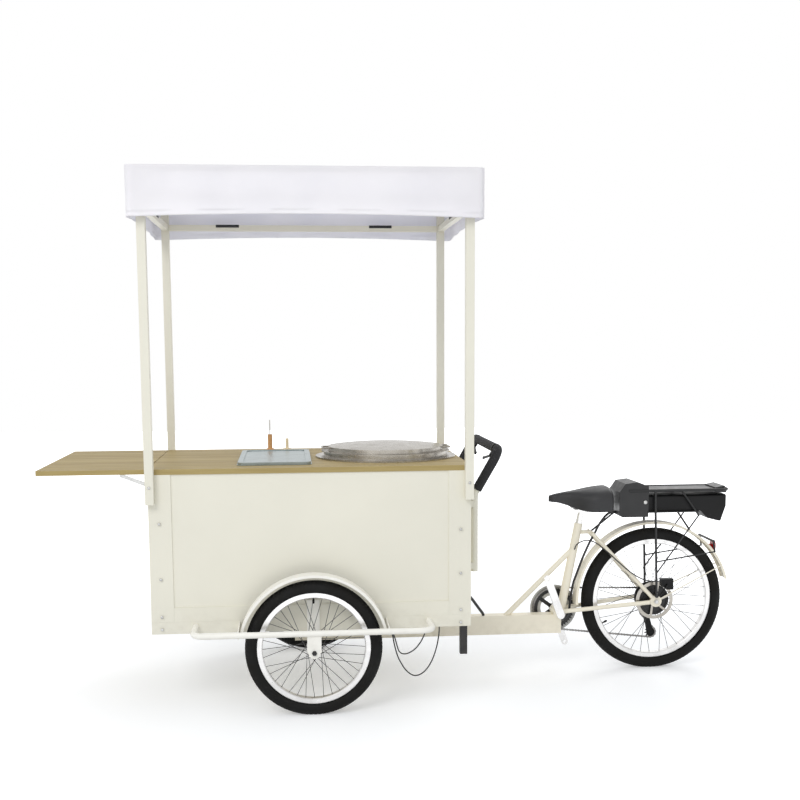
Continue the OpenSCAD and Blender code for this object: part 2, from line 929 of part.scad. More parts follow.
module pan_cover() {
  l = pan_l - 2 * cover_inset;
  w = pan_w - 2 * cover_inset;
  z = board_top + seat + pan_flange_t + seat;
  color(steel) from_front() translate([pan_x, pan_y, z]) difference() {
    rounded_sheet(l, w, pan_r, cover_h);
    translate([0, 0, -over])
      rounded_sheet(l - 2 * cover_t, w - 2 * cover_t, pan_r - cover_t, cover_h - cover_t + over - cover_dish);
    translate([0, 0, cover_h - cover_dish + cover_t])
      rounded_sheet(l - 2 * pan_flange_w, w - 2 * pan_flange_w, pan_r - cover_t, cover_dish);
  }
}

module utensils() {
  color(wood) from_front() {
    translate([spatula_x, tool_y, board_top]) {
      translate([0, 0, -tool_below]) cylinder(h = tool_below + spatula_handle_h, r = spatula_handle_r);
      translate([0, 0, seat]) cylinder(h = tool_rest_h, r = tool_rest_r);
      translate([-spatula_blade[0] / 2, -spatula_blade[1] / 2, spatula_handle_h]) cube(spatula_blade);
    }
    translate([spreader_x, tool_y, board_top]) {
      translate([0, 0, -tool_below]) cylinder(h = tool_below + spreader_h, r = spreader_r);
      translate([0, 0, seat]) cylinder(h = tool_rest_h, r = tool_rest_r);
      translate([0, 0, spreader_h]) sphere(spreader_r);
    }
  }
}

// Shelf

module shelf() {
  color(wood) from_front() translate([shelf_x - shelf_l / 2, 0, cabinet_top_z + leaf_t + seat])
    rounded_sheet(shelf_l, shelf_w, board_r, board_t - leaf_t - seat);
}

// Knuckle of a shelf hinge: a short barrel on the hinge line
module shelf_knuckle(y0, y1) {
  translate([hinge_x, 0, hinge_z]) difference() {
    across(hinge_r, y0, y1);
    across(shelf_pin_r + run_fit, y0 - over, y1 + over);
  }
}

// Moving leaves under the shelf, each with one knuckle on the hinge line
module shelf_leaf() {
  color(steel) from_front() both_sides() translate([0, -hinge_y, 0]) {
    difference() {
      union() {
        block([hinge_x - leaf_w, -leaf_l / 2, cabinet_top_z],
          [shelf_x, leaf_l / 2, cabinet_top_z + leaf_t]);
        block([hinge_x - hinge_r, -leaf_l / 6, hinge_z],
          [hinge_x - hinge_r + 2 * leaf_t, leaf_l / 6, cabinet_top_z + leaf_t]);
        translate([hinge_x, 0, hinge_z]) across(hinge_r, -leaf_l / 6, leaf_l / 6);
      }
      translate([hinge_x, 0, hinge_z]) across(shelf_pin_r + run_fit, -leaf_l, leaf_l);
    }
  }
}

// Fixed leaves on the front panel's trim with the hinge pins, and the lugs of the braces
module shelf_hinge() {
  wall = -cabinet_l / 2 + trim_t + seat;
  color(steel) from_front() both_sides() {
    translate([0, -hinge_y, 0]) {
      block([wall - leaf_t - seat, -leaf_l / 2, hinge_z - leaf_w],
        [wall - 2 * seat, leaf_l / 2, hinge_z + hinge_r]);
      for (s = [-1, 1]) translate([0, s * leaf_l / 3, 0]) {
        block([hinge_x, -leaf_l / 6 + air, hinge_z - leaf_t],
          [wall - leaf_t, leaf_l / 6 - air, hinge_z + leaf_t]);
        shelf_knuckle(-leaf_l / 6 + air, leaf_l / 6 - air);
      }
      translate([hinge_x, 0, hinge_z]) across(shelf_pin_r, -leaf_l / 2, leaf_l / 2);
    }
    translate([0, -brace_y, 0]) {
      block([wall - leaf_t - seat, -leaf_l / 3, brace_z - leaf_w / 2],
        [wall - 2 * seat, leaf_l / 3, brace_z + leaf_w / 2]);
      for (s = [0, 1]) mirror([0, s, 0])
        block([brace_x - brace_lug / 2, brace_t / 2 + air, brace_z - brace_lug / 2],
          [wall - leaf_t, brace_t / 2 + air + leaf_t, brace_z + brace_lug / 2]);
      translate([brace_x, 0, brace_z])
        across(brace_pin_r, -brace_t / 2 - air - leaf_t, brace_t / 2 + air + leaf_t);
    }
  }
}

// Braces that hold the open shelf up, pivoted on the lugs
module shelf_braces() {
  tip = [hinge_x - brace_reach, brace_tip_z];
  color(steel) from_front() both_sides() translate([0, -brace_y, 0]) difference() {
    union() {
      for (p = [[brace_x, brace_z], tip]) translate([p[0], 0, p[1]])
        across(brace_w / 2, -brace_t / 2, brace_t / 2);
      translate([brace_x, 0, brace_z]) rotate([0, -atan2(tip[1] - brace_z, tip[0] - brace_x), 0])
        block([0, -brace_t / 2, -brace_w / 2],
          [norm([tip[0] - brace_x, tip[1] - brace_z]), brace_t / 2, brace_w / 2]);
    }
    translate([brace_x, 0, brace_z]) across(brace_pin_r + run_fit, -brace_t, brace_t);
  }
}

// Canopy

module canopy_posts() {
  h = frame_top - bar_s - seat - post_low_z;
  color(cream) from_front() both_ends() both_sides()
    translate([-post_x, -post_y, post_low_z + h / 2]) rotate([0, 90, 0]) square_bar(h, post_s, post_wall);
}

// Bars of the canopy frame: a ring under the roof, two cross bars on the posts, a lower ring between posts
module canopy_frame() {
  ring_l = canopy_l - 2 * canopy_t - 2 * cover_gap;
  ring_w = canopy_w - 2 * canopy_t - 2 * cover_gap;
  z = frame_top - bar_s / 2;
  color(cream) from_front() {
    both_sides() translate([0, -(ring_w - bar_s) / 2, z]) square_bar(ring_l - 2 * canopy_r, bar_s, post_wall);
    both_ends() translate([-(ring_l - bar_s) / 2, 0, z]) rotate([0, 0, 90])
      square_bar(ring_w - 2 * bar_s - 2 * seat, bar_s, post_wall);
    both_ends() translate([-post_x, 0, z]) rotate([0, 0, 90])
      square_bar(ring_w - 2 * bar_s - 2 * seat, bar_s, post_wall);
    both_sides() translate([0, -post_y, lower_bar_z + bar_s / 2])
      square_bar(2 * post_x - post_s - 2 * seat, bar_s, post_wall);
    both_ends() translate([-post_x, 0, lower_bar_z + bar_s / 2]) rotate([0, 0, 90])
      square_bar(2 * post_y - post_s - 2 * seat, bar_s, post_wall);
  }
}

// One side of the cover's outline with its corner, as seen from above, waved by the hem's ripple
function hem_side(l, w, r, wave, turn) = concat(
  [for (k = [0:hem_side_points - 1])
    let (
      s = k / (hem_side_points - 1),
      u = (2 * s - 1) * (l / 2 - r),
      v = w / 2 + wave * sin(360 * hem_waves * s) * sin(180 * s)
    )
    concat(turned([u, -v], turn), sin(180 * s))],
  [for (k = [1:hem_corner_points])
    let (a = -90 + 90 * k / (hem_corner_points + 1))
    concat(turned([l / 2 - r + r * cos(a), -w / 2 + r + r * sin(a)], turn), 0)]
);
function turned(p, a) = [p[0] * cos(a) - p[1] * sin(a), p[0] * sin(a) + p[1] * cos(a)];
// Ring of the cover at a height, lifted at the middle of each side
function hem_ring(l, w, r, wave, z, lift = 0) = [for (side = [0:3])
  for (p = hem_side(side % 2 == 0 ? l : w, side % 2 == 0 ? w : l, r, wave, 90 * side))
    [p[0], p[1], z + lift * p[2]]];

// Fabric cover: valance and roof sewn as one sheet, its hem rippled and its roof a little crowned
module canopy_cover() {
  roof_share = 0.6;
  l = canopy_l;
  w = canopy_w;
  t = 2 * canopy_t;
  z1 = canopy_top - canopy_t - canopy_crown / 4;
  shoulder_z = frame_top - bar_s - over;
  outer = [
    hem_ring(l, w, canopy_r, hem_wave, canopy_z, hem_lift),
    hem_ring(l, w, canopy_r, hem_wave / 2, canopy_z + valance_h / 2, hem_lift / 2),
    hem_ring(l, w, canopy_r, 0, shoulder_z),
    hem_ring(l, w, canopy_r, 0, canopy_top - canopy_crown),
    hem_ring(l - canopy_crown, w - canopy_crown, canopy_r, 0, canopy_top - canopy_crown / 4),
    hem_ring(l * roof_share, w * roof_share, canopy_r, 0, canopy_top)
  ];
  inner = [
    hem_ring(l * roof_share, w * roof_share, canopy_r, 0, z1 + canopy_crown / 4),
    hem_ring(l - canopy_crown - t, w - canopy_crown - t, canopy_r, 0, z1),
    hem_ring(l - t, w - t, canopy_r, 0, canopy_top - canopy_crown),
    hem_ring(l - t, w - t, canopy_r, 0, shoulder_z),
    hem_ring(l - t, w - t, canopy_r, hem_wave / 2, canopy_z + valance_h / 2, hem_lift / 2),
    hem_ring(l - t, w - t, canopy_r, hem_wave, canopy_z, hem_lift)
  ];
  rings = concat(inner, outer);
  n = len(rings[0]);
  points = concat([for (q = rings) each q], [[0, 0, z1 + canopy_crown / 4], [0, 0, canopy_top]]);
  m = len(rings) * n;
  faces = concat(
    [for (k = [0:n - 1]) [m, (k + 1) % n, k]],
    [for (i = [0:len(rings) - 2], k = [0:n - 1], h = [0, 1])
      let (a = i * n + k, b = i * n + (k + 1) % n)
      h == 0 ? [a, b, b + n] : [a, b + n, a + n]],
    [for (k = [0:n - 1]) [m + 1, m - n + k, m - n + (k + 1) % n]]
  );
  color(cloth_white) from_front() polyhedron(points, faces, convexity = 4);
}

// Webbing strap round a lower bar of the frame
module strap_band(l) {
  s = bar_s + 2 * air;
  difference() {
    block([-l / 2, -s / 2 - strap_t, s / 2 - strap_lap], [l / 2, s / 2 + strap_t, s / 2 + strap_t]);
    block([-l / 2 - over, -s / 2, -s / 2], [l / 2 + over, s / 2, s / 2]);
  }
}

module canopy_straps() {
  z = lower_bar_z + bar_s / 2;
  color(black) from_front() {
    both_ends() both_sides() translate([-strap_x, -post_y, z]) strap_band(strap_l);
    both_ends() translate([-post_x, 0, z]) rotate([0, 0, 90]) strap_band(strap_l);
  }
}

// Handlebar

// Frame of the handlebar's sloping part: crossbar along Y through the origin, legs down -Z
module at_crossbar() {
  translate([handle_top_x, 0, handle_top_z]) rotate([0, handle_lean, 0]) children();
}

// Round section of the handlebar from the leg's bend over the crossbar to the other side
module handle_corner(d) {
  translate([0, handle_corner_r - handle_y, -handle_corner_r]) rotate([90, 0, 90]) rotate([0, 0, 90])
    rotate_extrude(angle = 90) translate([handle_corner_r, 0]) circle(d = d);
}

module handle_leg_low(d) {
  translate([handle_x, -handle_y, handle_low_z]) cylinder(h = handle_bend_z - handle_low_z, d = d);
  translate([handle_x + handle_bend_r, -handle_y, handle_bend_z]) rotate([90, 0, 0])
    rotate([0, 0, 180 - handle_lean])
    rotate_extrude(angle = handle_lean) translate([handle_bend_r, 0]) circle(d = d);
  translate([handle_x, -handle_y, handle_bend_z]) sphere(d = d + weld);
  translate([handle_x + handle_bend_r * (1 - cos(handle_lean)), -handle_y,
    handle_bend_z + handle_bend_r * sin(handle_lean)])
    sphere(d = d + weld);
}

module handlebar() {
  foot_z = handle_bend_z - handle_low_z;
  color(cream) from_front() {
    both_sides() {
      handle_leg_low(handle_d);
      for (s = foot_shares) translate([0, -handle_y, handle_low_z + s * foot_z])
        block([skin_x + seat, -handle_d / 2, -foot_h / 2], [handle_x, handle_d / 2, foot_h / 2]);
    }
    at_crossbar() {
      both_sides() {
        translate([0, -handle_y, -handle_corner_r - handle_slope_l])
          cylinder(h = handle_slope_l, d = handle_d);
        handle_corner(handle_d);
      }
      across(handle_d / 2, handle_corner_r - handle_y, handle_y - handle_corner_r);
    }
  }
}

// Clamp of a brake lever: a split ring on the crossbar with two ears below it
module lever_clamp() {
  difference() {
    union() {
      across(clamp_r, -clamp_y - clamp_w / 2, -clamp_y + clamp_w / 2);
      block([-lever_t / 2 - air - lever_ear, -clamp_y - clamp_w / 2, -lever_drop - lever_w / 2],
        [lever_t / 2 + air + lever_ear, -lever_pivot_y + lever_w / 2, 0]);
    }
    across(handle_d / 2 + sleeve_gap, -clamp_y - clamp_w, clamp_w);
    block([-lever_t / 2 - air, -clamp_y - clamp_w, -lever_drop - lever_w],
      [lever_t / 2 + air, clamp_w, -clamp_r]);
    translate([-clamp_r, -lever_pivot_y, -lever_drop]) rotate([0, 90, 0])
      cylinder(h = 2 * clamp_r, r = lever_pin_r + run_fit);
  }
}

module handlebar_fittings() {
  inner = handle_d + 2 * sleeve_gap;
  outer = inner + 2 * sleeve_t;
  color(black) from_front() at_crossbar() {
    both_sides() {
      difference() {
        union() {
          translate([0, -handle_y, -handle_corner_r - handle_slope_l])
            cylinder(h = handle_slope_l, d = outer);
          handle_corner(outer);
        }
        translate([0, -handle_y, -handle_corner_r - handle_slope_l - over])
          cylinder(h = handle_slope_l + over, d = inner);
        handle_corner(inner);
      }
      lever_clamp();
    }
    difference() {
      across(outer / 2, -clamp_y + clamp_w / 2 + seat, clamp_y - clamp_w / 2 - seat);
      across(inner / 2, -clamp_y, clamp_y);
      both_sides() block([-lever_t / 2 - lever_ear - 2 * air, -clamp_y, -outer],
        [lever_t / 2 + lever_ear + 2 * air, -lever_pivot_y + lever_w / 2 + air, 0]);
    }
  }
}

// Left brake lever: a blade from its pin in the clamp towards the middle of the bar
module lever() {
  translate([0, -lever_pivot_y, -lever_drop]) {
    translate([-lever_t / 2, 0, 0]) rotate([0, 90, 0]) linear_extrude(lever_t) {
      circle(d = lever_w);
      rotate(-lever_lean) {
        translate([-lever_w / 4, 0]) square([lever_w / 2, lever_l]);
        translate([0, lever_l]) circle(d = lever_w);
      }
    }
    translate([-lever_t / 2 - air - lever_ear, 0, 0]) rotate([0, 90, 0])
      cylinder(h = lever_t + 2 * air + 2 * lever_ear, r = lever_pin_r);
  }
}

module brake_lever_left() {
  color(black) from_front() at_crossbar() lever();
}

module brake_lever_right() {
  color(black) from_front() at_crossbar() mirror([0, 1, 0]) lever();
}

// Support leg of the left rear corner: a square tube with a plugged foot
module support_leg() {
  z = floor_z - leg_drop;
  translate([leg_x, -leg_y, 0]) {
    difference() {
      translate([0, 0, z]) rounded_sheet(leg_s, leg_s, leg_wall, leg_l);
      translate([0, 0, z + leg_foot_h])
        rounded_sheet(leg_s - 2 * leg_wall, leg_s - 2 * leg_wall, leg_wall / 2, leg_l);
    }
  }
}

module leg_left() {
  color(black) from_front() support_leg();
}

module leg_right() {
  color(black) from_front() mirror([0, 1, 0]) support_leg();
}

// Front wheels

// Guard bar of the left wheel, bent in to the sill, with its outer axle plate and mudguard straps
module guard_bar() {
  wall_y = cabinet_w / 2 + seat;
  straight = guard_l / 2 - guard_bend_r;
  translate([0, 0, guard_z]) {
    bar([-straight, -guard_y, 0], [straight, -guard_y, 0], guard_d);
    both_ends() {
      translate([-straight, -guard_y + guard_bend_r, 0]) rotate([0, 0, 180])
        rotate_extrude(angle = 90) translate([guard_bend_r, 0]) circle(d = guard_d);
      bar([-guard_l / 2, -guard_y + guard_bend_r, 0], [-guard_l / 2, -wall_y, 0], guard_d);
      block([-strap_in_x - strap_plate_t, -guard_y, -strap_h / 2], [-strap_in_x, -wall_y, strap_h / 2]);
    }
  }
  translate([0, -guard_y, front_tyre_r]) difference() {
    union() {
      across(axle_plate_r, -axle_plate_t / 2, axle_plate_t / 2);
      block([-axle_plate_w / 2, -axle_plate_t / 2, 0],
        [axle_plate_w / 2, axle_plate_t / 2, guard_z - front_tyre_r]);
    }
    across(axle_r + axle_hole, -axle_plate_t, axle_plate_t);
  }
}

// Inner axle plate, bolted to the outside of the sill and panel
module inner_axle_plate() {
  wall_y = cabinet_w / 2 + seat;
  translate([0, -wall_y - axle_plate_t, front_tyre_r]) difference() {
    union() {
      across(inner_plate_w / 2, 0, axle_plate_t);
      block([-inner_plate_w / 2, 0, 0], [inner_plate_w / 2, axle_plate_t, inner_plate_top - front_tyre_r]);
    }
    across(axle_r + axle_hole, -axle_plate_t, 2 * axle_plate_t);
  }
}

module guard_bars() {
  color(cream) from_front() both_sides() {
    guard_bar();
    inner_axle_plate();
  }
}

// Bent mudguard section turned about the wheel's axis, from one angle above the ground line to another
module mudguard(r, w, from, to) {
  rotate([90, 0, 0]) rotate([0, 0, from]) rotate_extrude(angle = to - from) {
    translate([r - mudguard_t, -w / 2]) square([mudguard_t, w]);
    for (s = [0, 1]) mirror([0, s]) translate([r - mudguard_lip, w / 2 - mudguard_t])
      square([mudguard_lip, mudguard_t]);
  }
}

module front_mudguards() {
  color(cream) from_front() both_sides() translate([0, -front_wheel_y, front_tyre_r])
    mudguard(front_guard_r, mudguard_w, mudguard_from, 180 - mudguard_from);
}

// Fixed axle of the left wheel with its spacers and nuts
module front_axle() {
  inner_y = -cabinet_w / 2 - seat - axle_plate_t;
  outer_y = -guard_y - axle_plate_t / 2;
  translate([0, 0, front_tyre_r]) {
    across(axle_r, outer_y - nut_t - nut_cap_h, -cabinet_w / 2 - 2 * seat);
    across(spacer_r, -front_wheel_y + front_hub_l / 2 + air, inner_y - seat);
    across(spacer_r, outer_y + axle_plate_t + seat, -front_wheel_y - front_hub_l / 2 - air);
    translate([0, outer_y - seat, 0]) rotate([90, 0, 0]) cylinder(h = nut_t, d = nut_d, $fn = 6);
    across(nut_cap_r, outer_y - nut_t - nut_cap_h, outer_y - seat);
  }
}

module front_axles() {
  color(black) from_front() both_sides() front_axle();
}

// Tyre of a wheel at the origin, its axis along Y
module tyre(r, w) {
  mid = r - w / 2;
  rotate([90, 0, 0]) rotate_extrude() difference() {
    translate([mid, 0]) circle(d = w);
    translate([mid, 0]) circle(d = w - 2 * tyre_wall);
    translate([0, -w]) square([r - w + bead, 2 * w]);
    for (s = tyre_groove_shares) translate([r - tyre_groove_deep - w * s * s, w * s - tyre_groove_w / 2])
      square([tyre_groove_deep + w, tyre_groove_w]);
  }
}

// Hollow rim under the tyre, with straight side walls
module rim(r_out) {
  rotate([90, 0, 0]) rotate_extrude() difference() {
    translate([r_out - rim_h, -rim_w / 2]) square([rim_h, rim_w]);
    translate([r_out - rim_h + rim_wall, -rim_w / 2 + rim_wall])
      square([rim_h / 2 - rim_wall, rim_w - 2 * rim_wall]);
    translate([r_out - rim_h / 2 + rim_wall, -rim_w / 2 + rim_wall]) square([rim_h, rim_w - 2 * rim_wall]);
    for (s = [0, 1]) mirror([0, s]) translate([r_out - rim_h, rim_w / 2]) rotate(45)
      square(rim_wall * sqrt(2), center = true);
  }
}

// Spokes laced from two hub flanges to a rim, half of them leading and half trailing
module spokes(r_in, r_rim, y_left, y_right, lace) {
  pairs = spoke_count / 4;
  step = 360 / pairs;
  for (side = [0, 1], i = [0:pairs - 1], lead = [-1, 1]) {
    y = side == 0 ? y_left : y_right;
    a = i * step + (lead > 0 ? 0 : step / 2) + side * step / 4;
    b = a + lead * lace;
    bar([r_in * cos(a), y + lead * spoke_stagger / 2, r_in * sin(a)],
      [r_rim * cos(b), (side == 0 ? -1 : 1) * rim_dish, r_rim * sin(b)], spoke_d);
  }
}

module front_tyre() {
  color(rubber) tyre(front_tyre_r, front_tyre_w);
}

front_rim_r = front_tyre_r - front_tyre_w + bead - air;
rear_rim_r = rear_tyre_r - rear_tyre_w + bead - air;

module front_rim() {
  color(alloy) {
    rim(front_rim_r);
    spokes(front_flange_r + spoke_d / 2 + air, front_rim_r - rim_h + rim_wall / 2,
      -front_flange_y, front_flange_y, front_cross);
  }
}

module front_hub() {
  color(alloy) rotate([90, 0, 0]) rotate_extrude() difference() {
    union() {
      translate([0, -front_hub_l / 2]) square([front_hub_r, front_hub_l]);
      for (s = [-1, 1]) translate([0, s * front_flange_y - flange_t / 2])
        square([front_flange_r, flange_t]);
    }
    translate([0, -front_hub_l]) square([axle_r + run_fit, 2 * front_hub_l]);
  }
}

module at_front_wheel(side) {
  from_front() translate([0, side * front_wheel_y, front_tyre_r]) children();
}

module front_tyre_left() {
  at_front_wheel(-1) front_tyre();
}

module front_tyre_right() {
  at_front_wheel(1) front_tyre();
}

module front_rim_left() {
  at_front_wheel(-1) front_rim();
}

module front_rim_right() {
  at_front_wheel(1) front_rim();
}

module front_hub_left() {
  at_front_wheel(-1) front_hub();
}

module front_hub_right() {
  at_front_wheel(1) front_hub();
}

// Cross channel under the floor with the tube that turns on the steering pin
module steering_head() {
  low = beam_top_z + steer_collar_h + air;
  half = cabinet_w / 2 - sill_w - seat;
  color(cream) from_front() difference() {
    union() {
      difference() {
        block([-cross_l / 2, -half, floor_z], [cross_l / 2, half, sill_top]);
        block([-cross_l / 2 + channel_t, -half - over, floor_z - over],
          [cross_l / 2 - channel_t, half + over, sill_top - channel_t]);
      }
      translate([0, 0, low]) cylinder(h = sill_top - low, r = steer_head_r);
    }
    translate([0, 0, low - over])
      cylinder(h = steer_pin_h - steer_collar_h + head_top_gap + over, r = steer_pin_r + run_fit);
  }
}

// Cords under the cabinet

module brake_cables() {
  color(steel) from_front() {
    cord(small_loop, cable_d, 2, 8);
    cord(large_loop, cable_d, 2, 8);
  }
}

module conduit() {
  color(black) from_front() cord(conduit_route, conduit_d, 1, 12);
}

// Rear frame

module at_rear_axle() {
  from_front() translate([wheelbase, 0, axle_z]) children();
}

module at_crank() {
  from_front() translate([crank_x, 0, crank_z]) children();
}

// Beam with the bottom bracket shell welded into its rear end and the steering pin on its front end
module beam() {
  color(cream) from_front() difference() {
    union() {
      difference() {
        block([beam_front, -beam_w / 2, beam_top_z - beam_h], [beam_back, beam_w / 2, beam_top_z]);
        block([beam_front + beam_wall, -beam_w / 2 + beam_wall, beam_top_z - beam_h + beam_wall],
          [beam_back - beam_wall, beam_w / 2 - beam_wall, beam_top_z - beam_wall]);
      }
      translate([crank_x, 0, crank_z]) across(shell_r, -shell_y, shell_y);
      translate([0, 0, beam_top_z]) cylinder(h = steer_collar_h, r = steer_head_r);
      translate([0, 0, beam_top_z]) cylinder(h = steer_pin_h, r = steer_pin_r);
    }
    translate([crank_x, 0, crank_z]) across(spindle_r + run_fit, -shell_y - over, shell_y + over);
  }
}

// Middle of the seat tube at a height
function mast_at(z) = [mast_x + (z - crank_z) * tan(seat_tube_lean), 0, z];

// Seat tube, bored for the post, and the strut that props it from the beam
module seat_mast() {
  strut_top = mast_at(strut_top_z);
  strut_foot = [strut_foot_x, 0, beam_top_z - strut_d];
  color(cream) from_front() {
    difference() {
      bar(mast_at(beam_top_z - shell_r), mast_at(mast_top_z), seat_tube_d);
      bar(mast_at(mast_top_z - post_l), mast_at(mast_top_z + over), seat_post_d + 2 * run_fit);
      translate([crank_x, 0, crank_z]) across(shell_r + seat, -shell_y, shell_y);
      block([beam_front, -beam_w / 2 - over, beam_top_z - beam_h],
        [beam_back + seat_tube_d, beam_w / 2 + over, beam_top_z + seat]);
    }
    difference() {
      tube(strut_foot, strut_top, strut_d, strut_wall);
      bar(mast_at(beam_top_z), mast_at(mast_top_z), seat_tube_d + 2 * seat);
      block([beam_front, -beam_w / 2 - over, beam_top_z - beam_h],
        [beam_back, beam_w / 2 + over, beam_top_z + seat]);
    }
  }
}

// Chain stays, each with its dropout plate
module chain_stays() {
  front = [crank_x + shell_r, -stay_y, crank_z + stay_d / 2 - shell_r / 4];
  back = [wheelbase - dropout_r / 2, -dropout_y, axle_z - dropout_t / 2];
  color(cream) from_front() both_sides() difference() {
    union() {
      tube(front, back, stay_d, stay_wall);
      translate([wheelbase, 0, axle_z])
        across(dropout_r, -dropout_y - dropout_t / 2, -dropout_y + dropout_t / 2);
    }
    translate([crank_x, 0, crank_z]) across(shell_r + seat, -shell_y - stay_d, shell_y);
    translate([wheelbase, 0, axle_z])
      across(rear_axle_r + axle_hole, -dropout_y - dropout_t, -dropout_y + dropout_t);
    translate([wheelbase, 0, axle_z]) across(dropout_r + over, -dropout_y + dropout_t / 2, 0);
    translate([wheelbase, 0, axle_z])
      across(dropout_r + over, -dropout_y - stay_d, -dropout_y - dropout_t / 2);
  }
}

// Seat stays and the bridge that joins them behind the seat tube
module seat_stays() {
  top = [seat_stay_x, -seat_stay_y, seat_stay_z];
  end = [wheelbase, -dropout_y, axle_z];
  mast = mast_at(seat_stay_z);
  color(cream) from_front() {
    both_sides() difference() {
      tube(top, end, seat_stay_d, stay_wall);
      translate([wheelbase, 0, axle_z]) across(dropout_r + seat, -dropout_y - stay_d, 0);
    }
    difference() {
      union() {
        bar([top[0], -seat_stay_y + seat_stay_d / 2 + seat, top[2]],
          [top[0], seat_stay_y - seat_stay_d / 2 - seat, top[2]], seat_stay_d);
        bar(mast, [top[0], 0, top[2]], seat_stay_d);
      }
      bar(mast_at(beam_top_z), mast_at(mast_top_z + over), seat_tube_d + 2 * seat);
    }
  }
}

module rear_axle() {
  color(alloy) at_rear_axle() {
    across(rear_axle_r, -rear_axle_l / 2, rear_axle_l / 2);
    both_sides() translate([0, -dropout_y - dropout_t / 2 - seat, 0]) rotate([90, 0, 0])
      cylinder(h = nut_t, d = nut_d, $fn = 6);
  }
}

// Rear wheel

module rear_tyre() {
  color(rubber) at_rear_axle() tyre(rear_tyre_r, rear_tyre_w);
}

module rear_rim() {
  color(alloy) at_rear_axle() {
    rim(rear_rim_r);
    spokes(rear_flange_r + spoke_d / 2 + air, rear_rim_r - rim_h + rim_wall / 2,
      hub_left_y + flange_t, hub_right_y - flange_t / 2, rear_cross);
  }
}

// Shell of the hub motor: a drum with two spoke flanges and domed covers, bored for the fixed axle
module hub_motor() {
  color(black) at_rear_axle() rotate([-90, 0, 0]) rotate_extrude() difference() {
    union() {
      translate([0, hub_left_y]) square([hub_drum_r, hub_right_y - hub_left_y]);
      for (y = [hub_left_y + flange_t / 2, hub_right_y - flange_t]) translate([0, y])
        square([rear_flange_r, flange_t]);
      translate([0, hub_boss_y]) square([hub_boss_r, -hub_boss_y]);
    }
    translate([0, hub_boss_y - over]) square([rear_axle_r + run_fit, hub_right_y - hub_boss_y + 2 * over]);
    translate([hub_cover_r, hub_left_y - over])
      square([hub_drum_r - hub_cover_r - flange_t / 2, over + flange_t / 2]);
  }
}

// Brake disc: a braking band on slanted arms with a hub ring, bolted to the left boss of the hub
module brake_rotor() {
  color(steel) at_rear_axle() translate([0, rotor_y - rotor_t / 2, 0]) difference() {
    union() {
      difference() {
        across(rotor_r, 0, rotor_t);
        across(rotor_r - rotor_band, -over, rotor_t + over);
      }
      across(hub_boss_r, 0, rotor_t - seat);
      for (k = [0:rotor_arms - 1]) rotate([0, 360 * k / rotor_arms, 0])
        translate([hub_boss_r * rotor_root_share, 0, 0]) rotate([0, -rotor_sweep, 0])
          block([0, 0, -rotor_arm_w / 2], [rotor_r - hub_boss_r, rotor_t - seat, rotor_arm_w / 2]);
    }
    across(spacer_r, -over, rotor_t + over);
  }
}

// Caliper over the disc's edge, on an arm from the dropout
module rear_brake() {
  color(black) from_front() {
    difference() {
      translate([caliper_x, caliper_y, caliper_z]) difference() {
        block([-caliper_l / 2, -caliper_w / 2, -caliper_h / 2],
          [caliper_l / 2, caliper_w / 2, caliper_h / 2]);
        block([-caliper_l, rotor_y - caliper_y - caliper_slot / 2, -caliper_h],
          [caliper_l, rotor_y - caliper_y + caliper_slot / 2, -caliper_h / 2 + caliper_slot_h]);
      }
      translate([wheelbase, 0, axle_z]) across(caliper_clear, caliper_y - caliper_w, caliper_y + caliper_w);
    }
    difference() {
      bar([wheelbase, -dropout_y, axle_z], [caliper_x, -dropout_y, caliper_z], dropout_t);
      translate([wheelbase, 0, axle_z]) across(dropout_r + seat, -dropout_y - stay_d, 0);
    }
    bar([caliper_x, -dropout_y - dropout_t / 2, caliper_z],
      [caliper_x, caliper_y - caliper_w / 4, caliper_z], dropout_t);
  }
}

// Drive

function pitch_r(teeth) = chain_pitch / (2 * sin(180 / teeth));

// Toothed wheel across Y: a disc with a round seat for each chain roller, open towards the tip
module toothed(teeth, t, phase) {
  r = pitch_r(teeth);
  seat_r = roller_r + roller_gap;
  difference() {
    across(r + tooth_h, -t / 2, t / 2);
    for (k = [0:teeth - 1]) rotate([0, phase - 360 * k / teeth, 0]) translate([r, 0, 0]) {
      across(seat_r, -t, t);
      rotate([90, 0, 0]) linear_extrude(2 * t, center = true)
        polygon([for (p = gap_shares) [p[0] * seat_r, p[1] * seat_r]]);
    }
  }
}

// Wheels that the chain goes round: centre, pitch radius and +1 where the chain turns clockwise
wheels = [
  [[crank_x, crank_z], pitch_r(ring_teeth), 1],
  [[wheelbase, axle_z], pitch_r(cog_teeth), 1],
  [[guide_x, guide_z], pitch_r(pulley_teeth), -1],
  [[idler_x, idler_z], pitch_r(pulley_teeth), 1]
];
wheel_count = len(wheels);

// Angle of the straight run from one wheel to the next, and the length of that run
function run_angle(i) =
  let (a = wheels[i], b = wheels[(i + 1) % wheel_count], d = b[0] - a[0])
  atan2(d[1], d[0]) + asin((b[2] * b[1] - a[2] * a[1]) / norm(d));
function run_length(i) =
  let (a = wheels[i], b = wheels[(i + 1) % wheel_count], k = b[2] * b[1] - a[2] * a[1])
  sqrt(pow(norm(b[0] - a[0]), 2) - k * k);
function positive_turn(a) = a - 360 * floor(a / 360);
// Angle that the chain turns through on a wheel, and where it meets and leaves it
function wrap(i) =
  let (before = run_angle((i + wheel_count - 1) % wheel_count), after = run_angle(i))
  positive_turn(wheels[i][2] * (before - after));
function rim_point(i, a) = wheels[i][0] + wheels[i][2] * wheels[i][1] * [-sin(a), cos(a)];
// Turn of a wheel for one link, and the length of chain on its arc
function link_turn(i) = 2 * asin(chain_pitch / (2 * wheels[i][1]));
function arc_length(i) = wrap(i) / link_turn(i) * chain_pitch;
